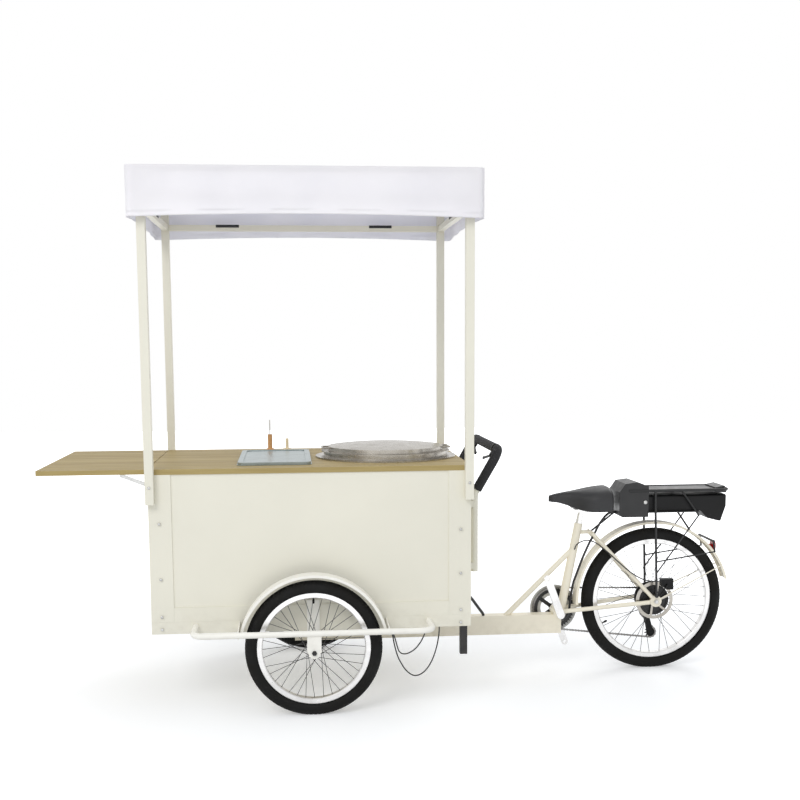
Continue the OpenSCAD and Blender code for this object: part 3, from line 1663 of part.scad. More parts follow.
// Place on the loop at a distance past the start of a wheel's run: the run first, then the next wheel's arc
function loop_point(s, i) =
  let (run = run_length(i), j = (i + 1) % wheel_count, arc = arc_length(j))
  s <= run ? rim_point(i, run_angle(i)) + s * [cos(run_angle(i)), sin(run_angle(i))]
  : s <= run + arc || i == wheel_count - 1
  ? rim_point(j, run_angle(i) - wheels[j][2] * (s - run) / chain_pitch * link_turn(j))
  : loop_point(s - run - arc, i + 1);
function sum(v, i) = i < 0 ? 0 : v[i] + sum(v, i - 1);
loop_length = sum([for (i = [0:wheel_count - 1]) run_length(i) + arc_length(i)], wheel_count - 1);
link_count = 2 * round(loop_length / chain_pitch / 2);
link_pitch = loop_length / link_count;
function pin_place(k) = loop_point((k % link_count) * link_pitch, 0);

// Turn of a wheel that puts a tooth gap on the chain pin nearest the middle of its wrap
function wrap_middle(i) =
  let (before = [for (k = [0:i - 1]) run_length(k) + arc_length((k + 1) % wheel_count)])
  i == 0 ? loop_length - arc_length(0) / 2 : sum(before, i - 1) - arc_length(i) / 2;
function wheel_phase(i) =
  let (k = round(wrap_middle(i) / link_pitch), p = pin_place(k) - wheels[i][0])
  -atan2(p[1], p[0]);

// Side plate of a link along X, from pin to pin
module link_plate(l, y) {
  for (x = [0, l]) translate([x, 0, 0]) across(plate_half, y, y + link_plate_t);
  block([0, y, -plate_half * waist_share], [l, y + link_plate_t, plate_half * waist_share]);
}

// Inner link: two plates joined by two bored rollers
module inner_link(l) {
  difference() {
    union() {
      for (s = [0, 1]) mirror([0, s, 0]) link_plate(l, link_inner);
      for (x = [0, l]) translate([x, 0, 0]) across(roller_r, -link_inner - link_gap, link_inner + link_gap);
    }
    for (x = [0, l]) translate([x, 0, 0]) across(pin_r + pin_gap, -plate_half, plate_half);
  }
}

// Outer link: two plates joined by two pins
module outer_link(l) {
  for (s = [0, 1]) mirror([0, s, 0]) link_plate(l, link_inner + link_plate_t + link_gap);
  for (x = [0, l]) translate([x, 0, 0])
    across(pin_r, -link_inner - 2 * link_plate_t - link_gap, link_inner + 2 * link_plate_t + link_gap);
}

module chain() {
  color(steel) from_front() translate([0, chain_y, 0]) for (k = [0:link_count - 1]) {
    a = pin_place(k);
    v = pin_place(k + 1) - a;
    translate([a[0], 0, a[1]]) rotate([0, -atan2(v[1], v[0]), 0])
      if (k % 2 == 0) inner_link(norm(v));
      else outer_link(norm(v));
  }
}

// Crank arm with its pedal eye, pointing up
module crank_arm(y) {
  difference() {
    hull() {
      translate([0, y, 0]) across(crank_boss_r, 0, crank_t, $fn = 32);
      translate([0, y, crank_l]) across(crank_eye_r, 0, crank_t, $fn = 32);
    }
    translate([0, y, crank_l]) across(pedal_r, -over, crank_t + over);
  }
}

// Spindle, two arms, and the chainring on a five-armed spider with a guard disc outside it
module crankset() {
  disc_y = chain_y + spider_t + disc_gap;
  color(alloy) at_crank() {
    across(spindle_r, -crank_y - crank_t, crank_y + crank_t);
    rotate([0, -crank_lean, 0]) crank_arm(-crank_y - crank_t);
    rotate([0, 180 - crank_lean, 0]) crank_arm(crank_y);
    translate([0, chain_y, 0]) difference() {
      toothed(ring_teeth, ring_t, wheel_phase(0));
      across(pitch_r(ring_teeth) - ring_band, -ring_t, ring_t);
    }
    for (k = [0:spider_arms - 1]) rotate([0, 360 * k / spider_arms, 0]) {
      block([0, chain_y, -spider_w / 2], [spider_r, chain_y + spider_t, spider_w / 2]);
      translate([disc_post_at, 0, 0]) across(disc_post_r, chain_y + spider_t - over, disc_y + over);
    }
    difference() {
      across(disc_r, disc_y, disc_y + disc_t);
      across(disc_bore_r, disc_y - over, disc_y + disc_t + over);
    }
    across(crank_boss_r - over, chain_y - ring_t / 2, crank_y + over);
  }
}

// Freewheel with six cogs on one core
module freewheel() {
  inner_y = chain_y - 4 * cog_step - cog_t / 2;
  color(alloy) at_rear_axle() difference() {
    union() {
      for (k = [0:len(cog_sizes) - 1]) translate([0, chain_y + (1 - k) * cog_step, 0])
        toothed(cog_sizes[k], cog_t, wheel_phase(1));
      across(cog_core_r, inner_y, chain_y + cog_step + cog_t / 2);
    }
    across(rear_axle_r + run_fit, inner_y - over, chain_y + 2 * cog_step);
  }
}

// Derailleur: two toothed pulleys in a cage, on a link body that hangs from the right dropout
module derailleur() {
  guide = [guide_x, chain_y, guide_z];
  idler = [idler_x, chain_y, idler_z];
  tilt = atan2(idler_x - guide_x, guide_z - idler_z);
  reach = norm(idler - guide);
  arm_y = dropout_y;
  color(black) from_front() {
    for (p = [[guide, 2], [idler, 3]]) translate(p[0]) {
      toothed(pulley_teeth, pulley_t, wheel_phase(p[1]));
      across(pulley_hub_r, -cage_half - cage_t, cage_half + cage_t);
    }
    translate(guide) rotate([0, -tilt, 0]) for (y = [-cage_half - cage_t, cage_half])
      block([-cage_w / 2, y, -reach - cage_w / 2], [cage_w / 2, y + cage_t, cage_w / 2]);
    bar([guide_x, chain_y + cage_half + cage_t / 2, guide_z], [guide_x, arm_y, guide_z], cage_w);
    difference() {
      bar([guide_x, arm_y, guide_z], [wheelbase, arm_y, axle_z], cage_w * arm_share);
      translate([wheelbase, 0, axle_z]) across(dropout_r + seat, 0, arm_y + cage_w);
    }
  }
}

// Rear mudguard with a stay from each dropout to its tail

module rear_mudguard() {
  tail = [wheelbase + rear_guard_r * cos(rear_guard_from + stay_turn),
    -rear_guard_w / 2 - guard_stay_d / 2 + over / 2,
    axle_z + rear_guard_r * sin(rear_guard_from + stay_turn) - mudguard_lip / 2];
  color(cream) from_front() {
    translate([wheelbase, 0, axle_z]) mudguard(rear_guard_r, rear_guard_w, rear_guard_from, rear_guard_to);
    both_sides() difference() {
      bar([wheelbase, -dropout_y, axle_z], tail, guard_stay_d);
      translate([wheelbase, 0, axle_z]) across(dropout_r + seat, -dropout_y - stay_d, 0);
    }
  }
}

// Rack

module rack_side() {
  deck = rack_z - rack_rail_d / 2;
  fork = [rack_fork_x, -rack_leg_y, rack_fork_z];
  knee = [rack_knee_x, -rack_leg_y, rack_knee_z];
  foot = [rack_foot_x, -rack_leg_y, rack_foot_z];
  top = [rack_leg_top_x, -rack_leg_y, battery_z];
  eye = [0, -rack_leg_y, axle_z];
  bar([rack_front_x + rack_bend_r, -rack_y, deck], [rack_back_x - rack_bend_r, -rack_y, deck], rack_rail_d);
  translate([rack_back_x - rack_bend_r, rack_bend_r - rack_y, deck]) rotate([0, 0, -90])
    rotate_extrude(angle = 90) translate([rack_bend_r, 0]) circle(d = rack_rail_d);
  bar([rack_leg_top_x, -rack_y, deck], [rack_leg_top_x, -rack_leg_y, battery_z - tray_t], rack_leg_d);
  difference() {
    bar(top, eye, rack_leg_d);
    translate([0, 0, axle_z]) across(dropout_r, -rack_leg_y - rack_leg_d, 0);
  }
  let (a = atan2(battery_z - axle_z, rack_leg_top_x))
    translate([dropout_r * cos(a), 0, axle_z + dropout_r * sin(a)])
      across(rack_leg_d / 2 + over, -rack_leg_y - rack_leg_d / 2, -dropout_y - dropout_t / 2 - seat);
  bar([rack_strut_x, -rack_y, deck], fork, rack_bar_d);
  bar(fork, knee, rack_bar_d);
  bar(knee, foot, rack_bar_d);
  for (p = [fork, foot]) translate(p) sphere(d = rack_bar_d + weld);
  bar(fork, on_leg(rack_brace_z), rack_tie_d);
  bar(foot, on_leg(rack_tie_z), rack_tie_d);
}

// Point of the rack's left leg at a height
function on_leg(z) = let (s = (z - axle_z) / (battery_z - axle_z))
  [s * rack_leg_top_x, -rack_leg_y, z];

// Side outline in X and Z, given in shares of a length and a height, across a width
module side_outline(shares, l, h, w) {
  rotate([90, 0, 0]) linear_extrude(w, center = true) polygon([for (p = shares) [p[0] * l, p[1] * h]]);
}

// Tubular rack: a plated deck on bent legs, a dock in front of the battery and a tray under it
module rack() {
  deck = rack_z - rack_rail_d / 2;
  dock_back = dock_x + dock_l;
  color(black) from_front() translate([wheelbase, 0, 0]) {
    both_sides() rack_side();
    bar([rack_back_x, rack_bend_r - rack_y, deck], [rack_back_x, rack_y - rack_bend_r, deck], rack_rail_d);
    block([dock_back - over, -rack_y, deck - deck_t / 2],
      [rack_back_x - rack_bend_r, rack_y, deck + deck_t / 2]);
    translate([rack_back_x - tail_l, 0, deck - tail_h / 2])
      side_outline(tail_shares, tail_l, tail_h, 2 * (rack_y - rack_rail_d));
    bar([rack_knee_x, -rack_leg_y - rack_bar_d, rack_knee_z],
      [rack_knee_x, rack_leg_y + rack_bar_d, rack_knee_z],
      rack_leg_d);
    block([dock_back - over, -rack_leg_y, battery_z - air - tray_t],
      [dock_back + tray_l, rack_leg_y, battery_z - air]);
    difference() {
      translate([dock_x, 0, dock_z]) side_outline(dock_shares, dock_l, dock_h, battery_w + 2 * dock_t);
      block([battery_x - air, -battery_w / 2 - air, battery_z - air],
        [dock_back + over, battery_w / 2 + air, battery_z + battery_h + air]);
    }
    difference() {
      bar([rack_hanger_x, 0, battery_z - air - tray_t / 2],
        [rack_hanger_x + rack_hanger_run, 0, rack_hanger_z], rack_bar_d);
      translate([0, 0, axle_z]) across(rear_guard_r + air, -rack_y, rack_y);
    }
    difference() {
      bar([dock_x + rack_bar_d, 0, battery_z - tray_t],
        [seat_stay_x - wheelbase, 0, seat_stay_z], rack_bar_d);
      translate([seat_stay_x - wheelbase, 0, seat_stay_z]) across(seat_stay_d / 2 + air, -rack_y, rack_y);
    }
  }
}

// Battery in a moulded case with a deeper tail and a grip at its rear end
module battery() {
  tall = battery_h * (1 + battery_tail_share);
  grip_z = battery_z + battery_h * battery_grip_share;
  color(black) from_front() translate([wheelbase, 0, 0]) difference() {
    intersection() {
      translate([battery_x, 0, battery_z + battery_h - tall / 2])
        rotate([90, 0, 90]) linear_extrude(battery_l)
        rounded_outline(battery_w, tall, battery_r);
      translate([battery_x, 0, battery_z])
        side_outline(battery_shares, battery_l, battery_h, battery_w + over);
    }
    block([battery_x + battery_l - battery_grip_deep, -battery_grip_l / 2, grip_z - battery_grip_h / 2],
      [battery_x + battery_l + over, battery_grip_l / 2, grip_z + battery_grip_h / 2]);
  }
}

// Round reflector on the back of the mudguard
module tail_reflector() {
  x = wheelbase + sqrt(pow(rear_guard_r, 2) - pow(reflector_z - axle_z, 2));
  color(red) from_front() difference() {
    union() {
      translate([x + reflector_arm, 0, reflector_z]) rotate([0, 90, 0])
        cylinder(h = reflector_t, r = reflector_r);
      bar([x - reflector_arm, 0, reflector_z], [x + reflector_arm + over, 0, reflector_z], reflector_arm);
    }
    translate([wheelbase, 0, axle_z]) across(rear_guard_r + air, -reflector_r, reflector_r);
  }
}

// Saddle

// Seat post in the seat tube, with the head that clamps the saddle's rails
module seat_post() {
  low = mast_at(mast_top_z - post_l + post_up);
  top = mast_at(mast_top_z + post_up);
  color(alloy) from_front() {
    bar(low, top, seat_post_d);
    difference() {
      block([top[0] - head_l / 2, -head_w / 2, top[2] - head_h / 2],
        [top[0] + head_l / 2, head_w / 2, top[2] + head_h / 2]);
      for (s = [-1, 1]) bar([top[0] - head_l, s * saddle_rail_y, top[2]],
        [top[0] + head_l, s * saddle_rail_y, top[2]], saddle_rail_d + 2 * seat);
    }
  }
}

// Half width, top and bottom of the saddle at a share of its length from the nose
function saddle_half(t) =
  let (u = min(1, max(0, (t - widen_shares[0]) / widen_shares[1])))
  saddle_w / 2 * (nose_share + (1 - nose_share) * pow(sin(90 * u), widen_power)) * end_round(t);
function end_round(t) =
  t < nose_round_share ? nose_full_share + (1 - nose_full_share) * sin(90 * t / nose_round_share)
  : sqrt(1 - back_full_share * pow(back_part(t), 2));
function back_part(t) = max(0, (t - 1 + back_round_share) / back_round_share);
function saddle_top(t) =
  saddle_top_z - saddle_deep * (drop_shares[0] * pow(1 - t, 2) + drop_shares[1] * pow(sin(180 * t), 2)
    + drop_shares[2] * pow(back_part(t), 2));
function saddle_low(t) =
  saddle_top_z - saddle_deep * (1 + skirt_shares[0] * (1 - t)
    + skirt_shares[1] * pow(sin(90 * min(1, t / skirt_shares[2])), 2)
    - skirt_shares[3] * pow(back_part(t), 2));

// Section of the saddle: a rounded top over deep skirts, hollow between them
function saddle_ring(t) =
  let (
    x = mast_at(mast_top_z + post_up)[0] - saddle_reach + t * saddle_l,
    h = saddle_half(t),
    top = saddle_top(t),
    low = min(saddle_low(t), top - saddle_deep * least_share),
    mid = low + (top - low) * belt_share,
    hollow = (top - low) * hollow_share * min(1, 2 * sin(180 * t))
  )
  [for (k = [0:saddle_sides - 1])
    let (a = -360 * k / saddle_sides, c = cos(a), s = sin(a))
    [x, h * sign(c) * pow(abs(c), round_power),
      s >= 0 ? mid + (top - mid) * pow(s, round_power) : low + hollow * (1 - pow(abs(c), hollow_power))]];

module saddle() {
  points = [for (i = [0:saddle_rings - 1]) each saddle_ring(i / (saddle_rings - 1))];
  rail_z = mast_at(mast_top_z + post_up)[2];
  rail_x = mast_at(mast_top_z + post_up)[0];
  color(black) from_front() {
    polyhedron(points, tube_faces(saddle_rings, saddle_sides), convexity = 4);
    for (s = [-1, 1]) {
      bar([rail_x - head_l, s * saddle_rail_y, rail_z],
        [rail_x + head_l, s * saddle_rail_y, rail_z], saddle_rail_d);
      bar([rail_x - head_l + saddle_rail_d, s * saddle_rail_y, rail_z],
        [rail_x - 2 * head_l, s * saddle_rail_y / 2, saddle_top_z - saddle_deep / 2], saddle_rail_d);
      bar([rail_x + head_l - saddle_rail_d, s * saddle_rail_y, rail_z],
        [rail_x + 2 * head_l, s * saddle_rail_y * 2, saddle_top_z - saddle_deep / 2], saddle_rail_d);
    }
  }
}

// Loom behind the seat tube and the rear brake's cable along the left seat stay
module rear_cables() {
  color(black) from_front() {
    cord(loom_route, loom_d, 2, 10);
    cord(brake_route, cable_d, 2, 8);
  }
}

floor_pan();
cabinet_frame();
side_panel_left();
side_panel_right();
end_panels();
service_door();
worktop();
griddle_body();
griddle_plate();
griddle_lid();
pan_well();
pan_cover();
utensils();
shelf();
shelf_leaf();
shelf_hinge();
shelf_braces();
canopy_posts();
canopy_frame();
canopy_cover();
canopy_straps();
handlebar();
handlebar_fittings();
brake_lever_left();
brake_lever_right();
leg_left();
leg_right();
guard_bars();
front_mudguards();
front_axles();
steering_head();
front_tyre_left();
front_rim_left();
front_hub_left();
front_tyre_right();
front_rim_right();
front_hub_right();
brake_cables();
conduit();
beam();
seat_mast();
chain_stays();
seat_stays();
rear_axle();
rear_tyre();
rear_rim();
hub_motor();
brake_rotor();
rear_brake();
crankset();
chain();
freewheel();
derailleur();
rear_mudguard();
rack();
battery();
tail_reflector();
seat_post();
saddle();
rear_cables();
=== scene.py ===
import bpy
import math
from mathutils import Matrix, Vector, noise


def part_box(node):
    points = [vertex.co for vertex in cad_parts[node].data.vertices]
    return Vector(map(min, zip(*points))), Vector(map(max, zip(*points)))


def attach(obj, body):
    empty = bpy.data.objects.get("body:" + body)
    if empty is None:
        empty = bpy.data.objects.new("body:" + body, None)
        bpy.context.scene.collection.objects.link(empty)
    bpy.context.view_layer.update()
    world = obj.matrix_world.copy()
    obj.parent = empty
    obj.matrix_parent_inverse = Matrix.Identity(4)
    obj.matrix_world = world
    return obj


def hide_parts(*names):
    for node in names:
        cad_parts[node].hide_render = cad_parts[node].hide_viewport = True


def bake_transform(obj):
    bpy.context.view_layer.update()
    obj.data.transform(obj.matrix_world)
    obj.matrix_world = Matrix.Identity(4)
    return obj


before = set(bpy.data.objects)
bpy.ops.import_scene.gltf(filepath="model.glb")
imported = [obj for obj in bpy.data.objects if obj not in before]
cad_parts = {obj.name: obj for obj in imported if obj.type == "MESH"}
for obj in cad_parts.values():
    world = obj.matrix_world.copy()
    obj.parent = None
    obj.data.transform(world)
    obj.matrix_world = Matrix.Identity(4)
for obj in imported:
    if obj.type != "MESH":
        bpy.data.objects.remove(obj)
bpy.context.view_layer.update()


# Camera. It stands 4.7 m from the cart's left side at a rider's eye height,
# turned a little towards the rear wheel and tilted down, with a lens near 52 mm.
tyre_low, tyre_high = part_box("front_tyre_left")
axle_x = (tyre_low[0] + tyre_high[0]) / 2
camera_yaw = 0.0951
camera_pitch = 0.1236
camera_roll = -0.0051
camera_focus_px = 1145.77
camera_centre_y_px = 486.01
picture_px = 800
forward = Vector((math.sin(camera_yaw) * math.cos(camera_pitch),
                  math.cos(camera_yaw) * math.cos(camera_pitch), -math.sin(camera_pitch)))
level = Vector((math.cos(camera_yaw), -math.sin(camera_yaw), 0))
upward = level.cross(forward)
side = math.cos(camera_roll) * level + math.sin(camera_roll) * upward
upward = math.cos(camera_roll) * upward - math.sin(camera_roll) * level
lens = bpy.data.cameras.new("camera")
lens.sensor_width = 36
lens.lens = lens.sensor_width * camera_focus_px / picture_px
lens.shift_y = (camera_centre_y_px - picture_px / 2) / picture_px
camera = bpy.data.objects.new("camera", lens)
bpy.context.scene.collection.objects.link(camera)
turned = Matrix((side, upward, -forward)).transposed()
camera.matrix_world = Matrix.Translation((axle_x - 0.0739, -4.672, 1.381)) @ turned.to_4x4()
bpy.context.scene.camera = camera
bpy.context.scene.view_settings.view_transform = "Standard"


# Studio. A pale floor and an even white surround, with one wide soft lamp
# high on the left front so that the shadows stay under the cart.
def put(tree, kind, sockets=None, **settings):
    made = tree.nodes.new("ShaderNode" + kind)
    for key, value in settings.items():
        setattr(made, key, value)
    for key, value in (sockets or {}).items():
        if isinstance(value, bpy.types.NodeSocket):
            tree.links.new(value, made.inputs[key])
        else:
            made.inputs[key].default_value = value
    return made


def seen_white(tree):
    path = put(tree, "LightPath").outputs
    seen = put(tree, "Math", {0: path["Is Camera Ray"], 1: path["Is Glossy Ray"]}, operation="MAXIMUM")
    through = put(tree, "Math", {0: seen.outputs[0], 1: path["Is Transmission Ray"]}, operation="MAXIMUM")
    return through.outputs[0]


surround = bpy.data.worlds.new("surround")
bpy.context.scene.world = surround
surround.use_nodes = True
sky = surround.node_tree
sky.nodes.clear()
sky_light = put(sky, "Background", {"Color": (0.93, 0.96, 1.0, 1), "Strength": 0.82})
sky_seen = put(sky, "Background", {"Color": (1, 1, 1, 1), "Strength": 1.0})
sky_mix = put(sky, "MixShader", {0: seen_white(sky), 1: sky_light.outputs[0], 2: sky_seen.outputs[0]})
put(sky, "OutputWorld", {"Surface": sky_mix.outputs[0]})

floor_half = 14.0
floor_mesh = bpy.data.meshes.new("floor")
floor_mesh.from_pydata([(-floor_half, -floor_half, 0), (floor_half, -floor_half, 0),
                        (floor_half, floor_half, 0), (-floor_half, floor_half, 0)], [], [(0, 1, 2, 3)])
floor = bpy.data.objects.new("floor", floor_mesh)
bpy.context.scene.collection.objects.link(floor)
floor_paint = bpy.data.materials.new("floor")
floor_paint.use_nodes = True
floor_tree = floor_paint.node_tree
floor_tree.nodes.clear()
floor_grain = put(floor_tree, "TexNoise", {"Scale": 3.0, "Detail": 4.0})
floor_tint = put(floor_tree, "MapRange", {"Value": floor_grain.outputs[0], "To Min": 0.80, "To Max": 0.84})
floor_matt = put(floor_tree, "BsdfDiffuse", {"Color": floor_tint.outputs[0]})
floor_place = put(floor_tree, "TexCoord").outputs["Object"]
floor_away = put(floor_tree, "VectorMath", {0: floor_place}, operation="LENGTH").outputs["Value"]
floor_fade = put(floor_tree, "MapRange", {"Value": floor_away, "From Min": 1.0, "From Max": 3.6,
                                          "To Min": 0.30, "To Max": 1.0}, interpolation_type="SMOOTHSTEP")
floor_glow = put(floor_tree, "Math", {0: seen_white(floor_tree), 1: floor_fade.outputs[0]},
                 operation="MULTIPLY")
floor_white = put(floor_tree, "Emission", {"Strength": floor_glow.outputs[0]})
floor_sum = put(floor_tree, "AddShader", {0: floor_matt.outputs[0], 1: floor_white.outputs[0]})
put(floor_tree, "OutputMaterial", {"Surface": floor_sum.outputs[0]})
floor_mesh.materials.append(floor_paint)


def lamp(name, place, aim, size, power):
    made = bpy.data.objects.new(name, bpy.data.lights.new(name, "AREA"))
    made.data.size = size
    made.data.energy = power
    made.location = place
    made.rotation_euler = (Vector(aim) - Vector(place)).to_track_quat("-Z", "Y").to_euler()
    bpy.context.scene.collection.objects.link(made)


lamp("key_lamp", (-3.2, -5.5, 5.2), (0, 0, 0.7), 3.0, 150)
lamp("back_lamp", (3.5, 4.5, 4.5), (0, 0, 0.8), 3.0, 90)


# Cabinet. Folded steel sheet on a tube frame, powder coated cream, with trims along the corners,
# screwed on with dome-headed bolts; a door for stores is hung on the right side.
def new_group(name, inputs, outputs):
    tree = bpy.data.node_groups.new(name, "ShaderNodeTree")
    for label, kind, value in inputs:
        socket = tree.interface.new_socket(name=label, in_out="INPUT", socket_type="NodeSocket" + kind)
        socket.default_value = value
    for label, kind in outputs:
        tree.interface.new_socket(name=label, in_out="OUTPUT", socket_type="NodeSocket" + kind)
    return tree, tree.nodes.new("NodeGroupInput").outputs, tree.nodes.new("NodeGroupOutput").inputs


def mixed(tree, share, first, second):
    return put(tree, "Mix", {0: share, 6: first, 7: second}, data_type="RGBA").outputs[2]


def ranged(tree, value, low, high, to_low=0.0, to_high=1.0):
    return put(tree, "MapRange", {"Value": value, "From Min": low, "From Max": high,
                                  "To Min": to_low, "To Max": to_high}).outputs[0]


def product(tree, first, second):
    return put(tree, "Math", {0: first, 1: second}, operation="MULTIPLY").outputs[0]


paint, given, result = new_group("powder_coat", [
    ("Paint", "Color", (1, 1, 1, 1)), ("Soil", "Color", (1, 1, 1, 1)), ("Soil Height", "Float", 0.5)],
    [("Base Color", "Color"), ("Roughness", "Float"), ("Height", "Float")])
here = put(paint, "TexCoord").outputs["Object"]
cloud = put(paint, "TexNoise", {"Vector": here, "Scale": 2.4, "Detail": 4.0}).outputs[0]
fleck = put(paint, "TexNoise", {"Vector": here, "Scale": 34.0, "Detail": 6.0}).outputs[0]
peel = put(paint, "TexNoise", {"Vector": here, "Scale": 430.0, "Detail": 1.0}).outputs[0]
height = put(paint, "SeparateXYZ", {0: here}).outputs[2]
low_share = ranged(paint, height, given["Soil Height"], 0.05, 0.0, 0.5)
soil = product(paint, low_share, ranged(paint, fleck, 0.40, 0.72))
shade = put(paint, "HueSaturation", {"Color": given["Paint"],
                                     "Value": ranged(paint, cloud, 0.3, 0.7, 0.965, 1.02)})
paint.links.new(mixed(paint, soil, shade.outputs[0], given["Soil"]), result["Base Color"])
paint.links.new(ranged(paint, fleck, 0.3, 0.7, 0.34, 0.48), result["Roughness"])
paint.links.new(peel, result["Height"])


def srgb(red, green, blue):
    parts = [part / 255 for part in (red, green, blue)]
    linear = [part / 12.92 if part < 0.04045 else ((part + 0.055) / 1.055) ** 2.4 for part in parts]
    return (*linear, 1.0)


def surface(name, group, values, bump=0.0005, **shader):
    made = bpy.data.materials.new(name)
    made.use_nodes = True
    tree = made.node_tree
    main = tree.nodes["Principled BSDF"]
    finish = put(tree, "Group", node_tree=group)
    for key, value in values.items():
        finish.inputs[key].default_value = value
    for socket in finish.outputs:
        if socket.name in main.inputs:
            tree.links.new(socket, main.inputs[socket.name])
    relief = put(tree, "Bump", {"Height": finish.outputs["Height"], "Distance": bump, "Strength": 0.6})
    tree.links.new(relief.outputs[0], main.inputs["Normal"])
    for key, value in shader.items():
        main.inputs[key.replace("_", " ")].default_value = value
    return made


cream = surface("cream_paint", paint, {
    "Paint": srgb(233, 229, 213), "Soil": srgb(176, 166, 146), "Soil Height": 0.42}, 0.0002)


def dress(names, material, edge=0.0):
    for name in names.split():
        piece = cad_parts[name]
        piece.data.materials.clear()
        piece.data.materials.append(material)
        if edge:
            if "custom_normal" in piece.data.attributes:
                piece.data.attributes.remove(piece.data.attributes["custom_normal"])
            piece.data.shade_smooth()
            welded = piece.modifiers.new("weld", "WELD")
            welded.merge_threshold = 0.00002
            rounded = piece.modifiers.new("edges", "BEVEL")
            rounded.width = edge
            rounded.segments = 2
            rounded.limit_method = "ANGLE"
            rounded.angle_limit = math.radians(50)
            rounded.harden_normals = True


dress("cabinet_frame service_door", cream, 0.0012)
dress("side_panel_left side_panel_right end_panels floor_pan", cream)


def ring_faces(rings, sides):
    """Faces between rings of points, each ring joined to the next."""
    faces = []
    for k in range(rings - 1):
        near, far = k * sides, (k + 1) * sides
        faces += [(near + j, near + (j + 1) % sides, far + (j + 1) % sides, far + j) for j in range(sides)]
    return faces


def dome(place, out, radius):
    """A domed bolt head with a round socket, lying on a surface that faces along out."""
    turn = Vector(out).to_track_quat("Z", "Y").to_matrix()
    rings = [(1.0, 0.0), (1.0, 0.22), (0.9, 0.42), (0.7, 0.56), (0.5, 0.62), (0.46, 0.62), (0.42, 0.3)]
    sides = 18
    verts = []
    for share, lift in rings:
        for j in range(sides):
            a = 2 * math.pi * j / sides
            spot = Vector((share * math.cos(a), share * math.sin(a), lift))
            verts.append(Vector(place) + turn @ (radius * spot))
    faces = ring_faces(len(rings), sides)
    faces.append(tuple(range(len(verts) - sides, len(verts))))
    return verts, faces


def new_mesh(name, verts, faces, material):
    mesh = bpy.data.meshes.new(name)
    mesh.from_pydata([tuple(v) for v in verts], [], faces)
    mesh.materials.append(material)
    for face in mesh.polygons:
        face.use_smooth = True
    mesh.update()
    made = bpy.data.objects.new(name, mesh)
    bpy.context.scene.collection.objects.link(made)
    return made


def gathered(name, parts, material, body):
    verts, faces = [], []
    for part_verts, part_faces in parts:
        faces += [tuple(i + len(verts) for i in face) for face in part_faces]
        verts += part_verts
    made = new_mesh(name, verts, faces, material)
    made.data.set_sharp_from_angle(angle=math.radians(40))
    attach(made, body)
    return made


steel, given, result = new_group("bright_metal", [
    ("Metal", "Color", (1, 1, 1, 1)), ("Dull", "Color", (1, 1, 1, 1)), ("Along", "Vector", (1, 1, 1)),
    ("Roughness Low", "Float", 0.2), ("Roughness High", "Float", 0.4)],
    [("Base Color", "Color"), ("Roughness", "Float"), ("Height", "Float")])
here = put(steel, "TexCoord").outputs["Object"]
drawn = put(steel, "VectorMath", {0: here, 1: given["Along"]}, operation="MULTIPLY").outputs[0]
streak = put(steel, "TexNoise", {"Vector": drawn, "Scale": 1.0, "Detail": 3.0}).outputs[0]
stain = put(steel, "TexNoise", {"Vector": here, "Scale": 17.0, "Detail": 6.0}).outputs[0]
stained = mixed(steel, ranged(steel, stain, 0.45, 0.8), given["Metal"], given["Dull"])
steel.links.new(stained, result["Base Color"])
rough = ranged(steel, streak, 0.3, 0.7, given["Roughness Low"], given["Roughness High"])
steel.links.new(rough, result["Roughness"])
steel.links.new(streak, result["Height"])

zinc = surface("zinc_plate", steel, {
    "Metal": (0.58, 0.58, 0.57, 1), "Dull": (0.36, 0.35, 0.33, 1), "Along": (160, 160, 160),
    "Roughness Low": 0.28, "Roughness High": 0.48}, 0.0002, Metallic=1.0)
bolt_heights = {-1: [0.721, 0.511, 0.368, 0.320], 1: [0.679, 0.509, 0.367, 0.317]}
bolt_x = 0.565
bolt_y = 0.4065
bolt_r = 0.0055
heads = []
for sign_x, heights in bolt_heights.items():
    for z in heights:
        heads.append(dome((axle_x + sign_x * bolt_x, -bolt_y, z), (0, -1, 0), bolt_r))
        if not (sign_x > 0 and 0.55 < z < 0.9):
            heads.append(dome((axle_x + sign_x * bolt_x, bolt_y, z), (0, 1, 0), bolt_r))
gathered("cabinet_bolts", heads, zinc, "cart")


# Worktop and fold-out shelf. Bamboo board of glued strips, oiled, with rounded edges;
# the worktop is screwed to the cabinet's rails and the shelf hangs on a hinge with two braces.
wood, given, result = new_group("strip_board", [
    ("Light", "Color", (1, 1, 1, 1)), ("Dark", "Color", (1, 1, 1, 1)), ("Strip", "Float", 0.02)],
    [("Base Color", "Color"), ("Roughness", "Float"), ("Height", "Float")])
here = put(wood, "TexCoord").outputs["Object"]
apart = put(wood, "SeparateXYZ", {0: here}).outputs
row = put(wood, "Math", {0: apart[1], 1: given["Strip"]}, operation="DIVIDE").outputs[0]
row = put(wood, "Math", {0: row}, operation="FLOOR").outputs[0]
strip_tone = put(wood, "TexWhiteNoise", {"W": row}, noise_dimensions="1D").outputs[0]
fibre_at = put(wood, "VectorMath", {0: here, 1: (7, 260, 260)}, operation="MULTIPLY").outputs[0]
fibre = put(wood, "TexNoise", {"Vector": fibre_at, "Scale": 1.0, "Detail": 5.0, "Distortion": 0.3}).outputs[0]
wide_at = put(wood, "VectorMath", {0: here, 1: (2.2, 26, 26)}, operation="MULTIPLY").outputs[0]
wide = put(wood, "TexNoise", {"Vector": wide_at, "Scale": 1.0, "Detail": 3.0}).outputs[0]
tone = put(wood, "Math", {0: product(wood, strip_tone, 0.35), 1: product(wood, fibre, 0.35)},
           operation="ADD").outputs[0]
tone = put(wood, "Math", {0: tone, 1: product(wood, wide, 0.3)}, operation="ADD").outputs[0]
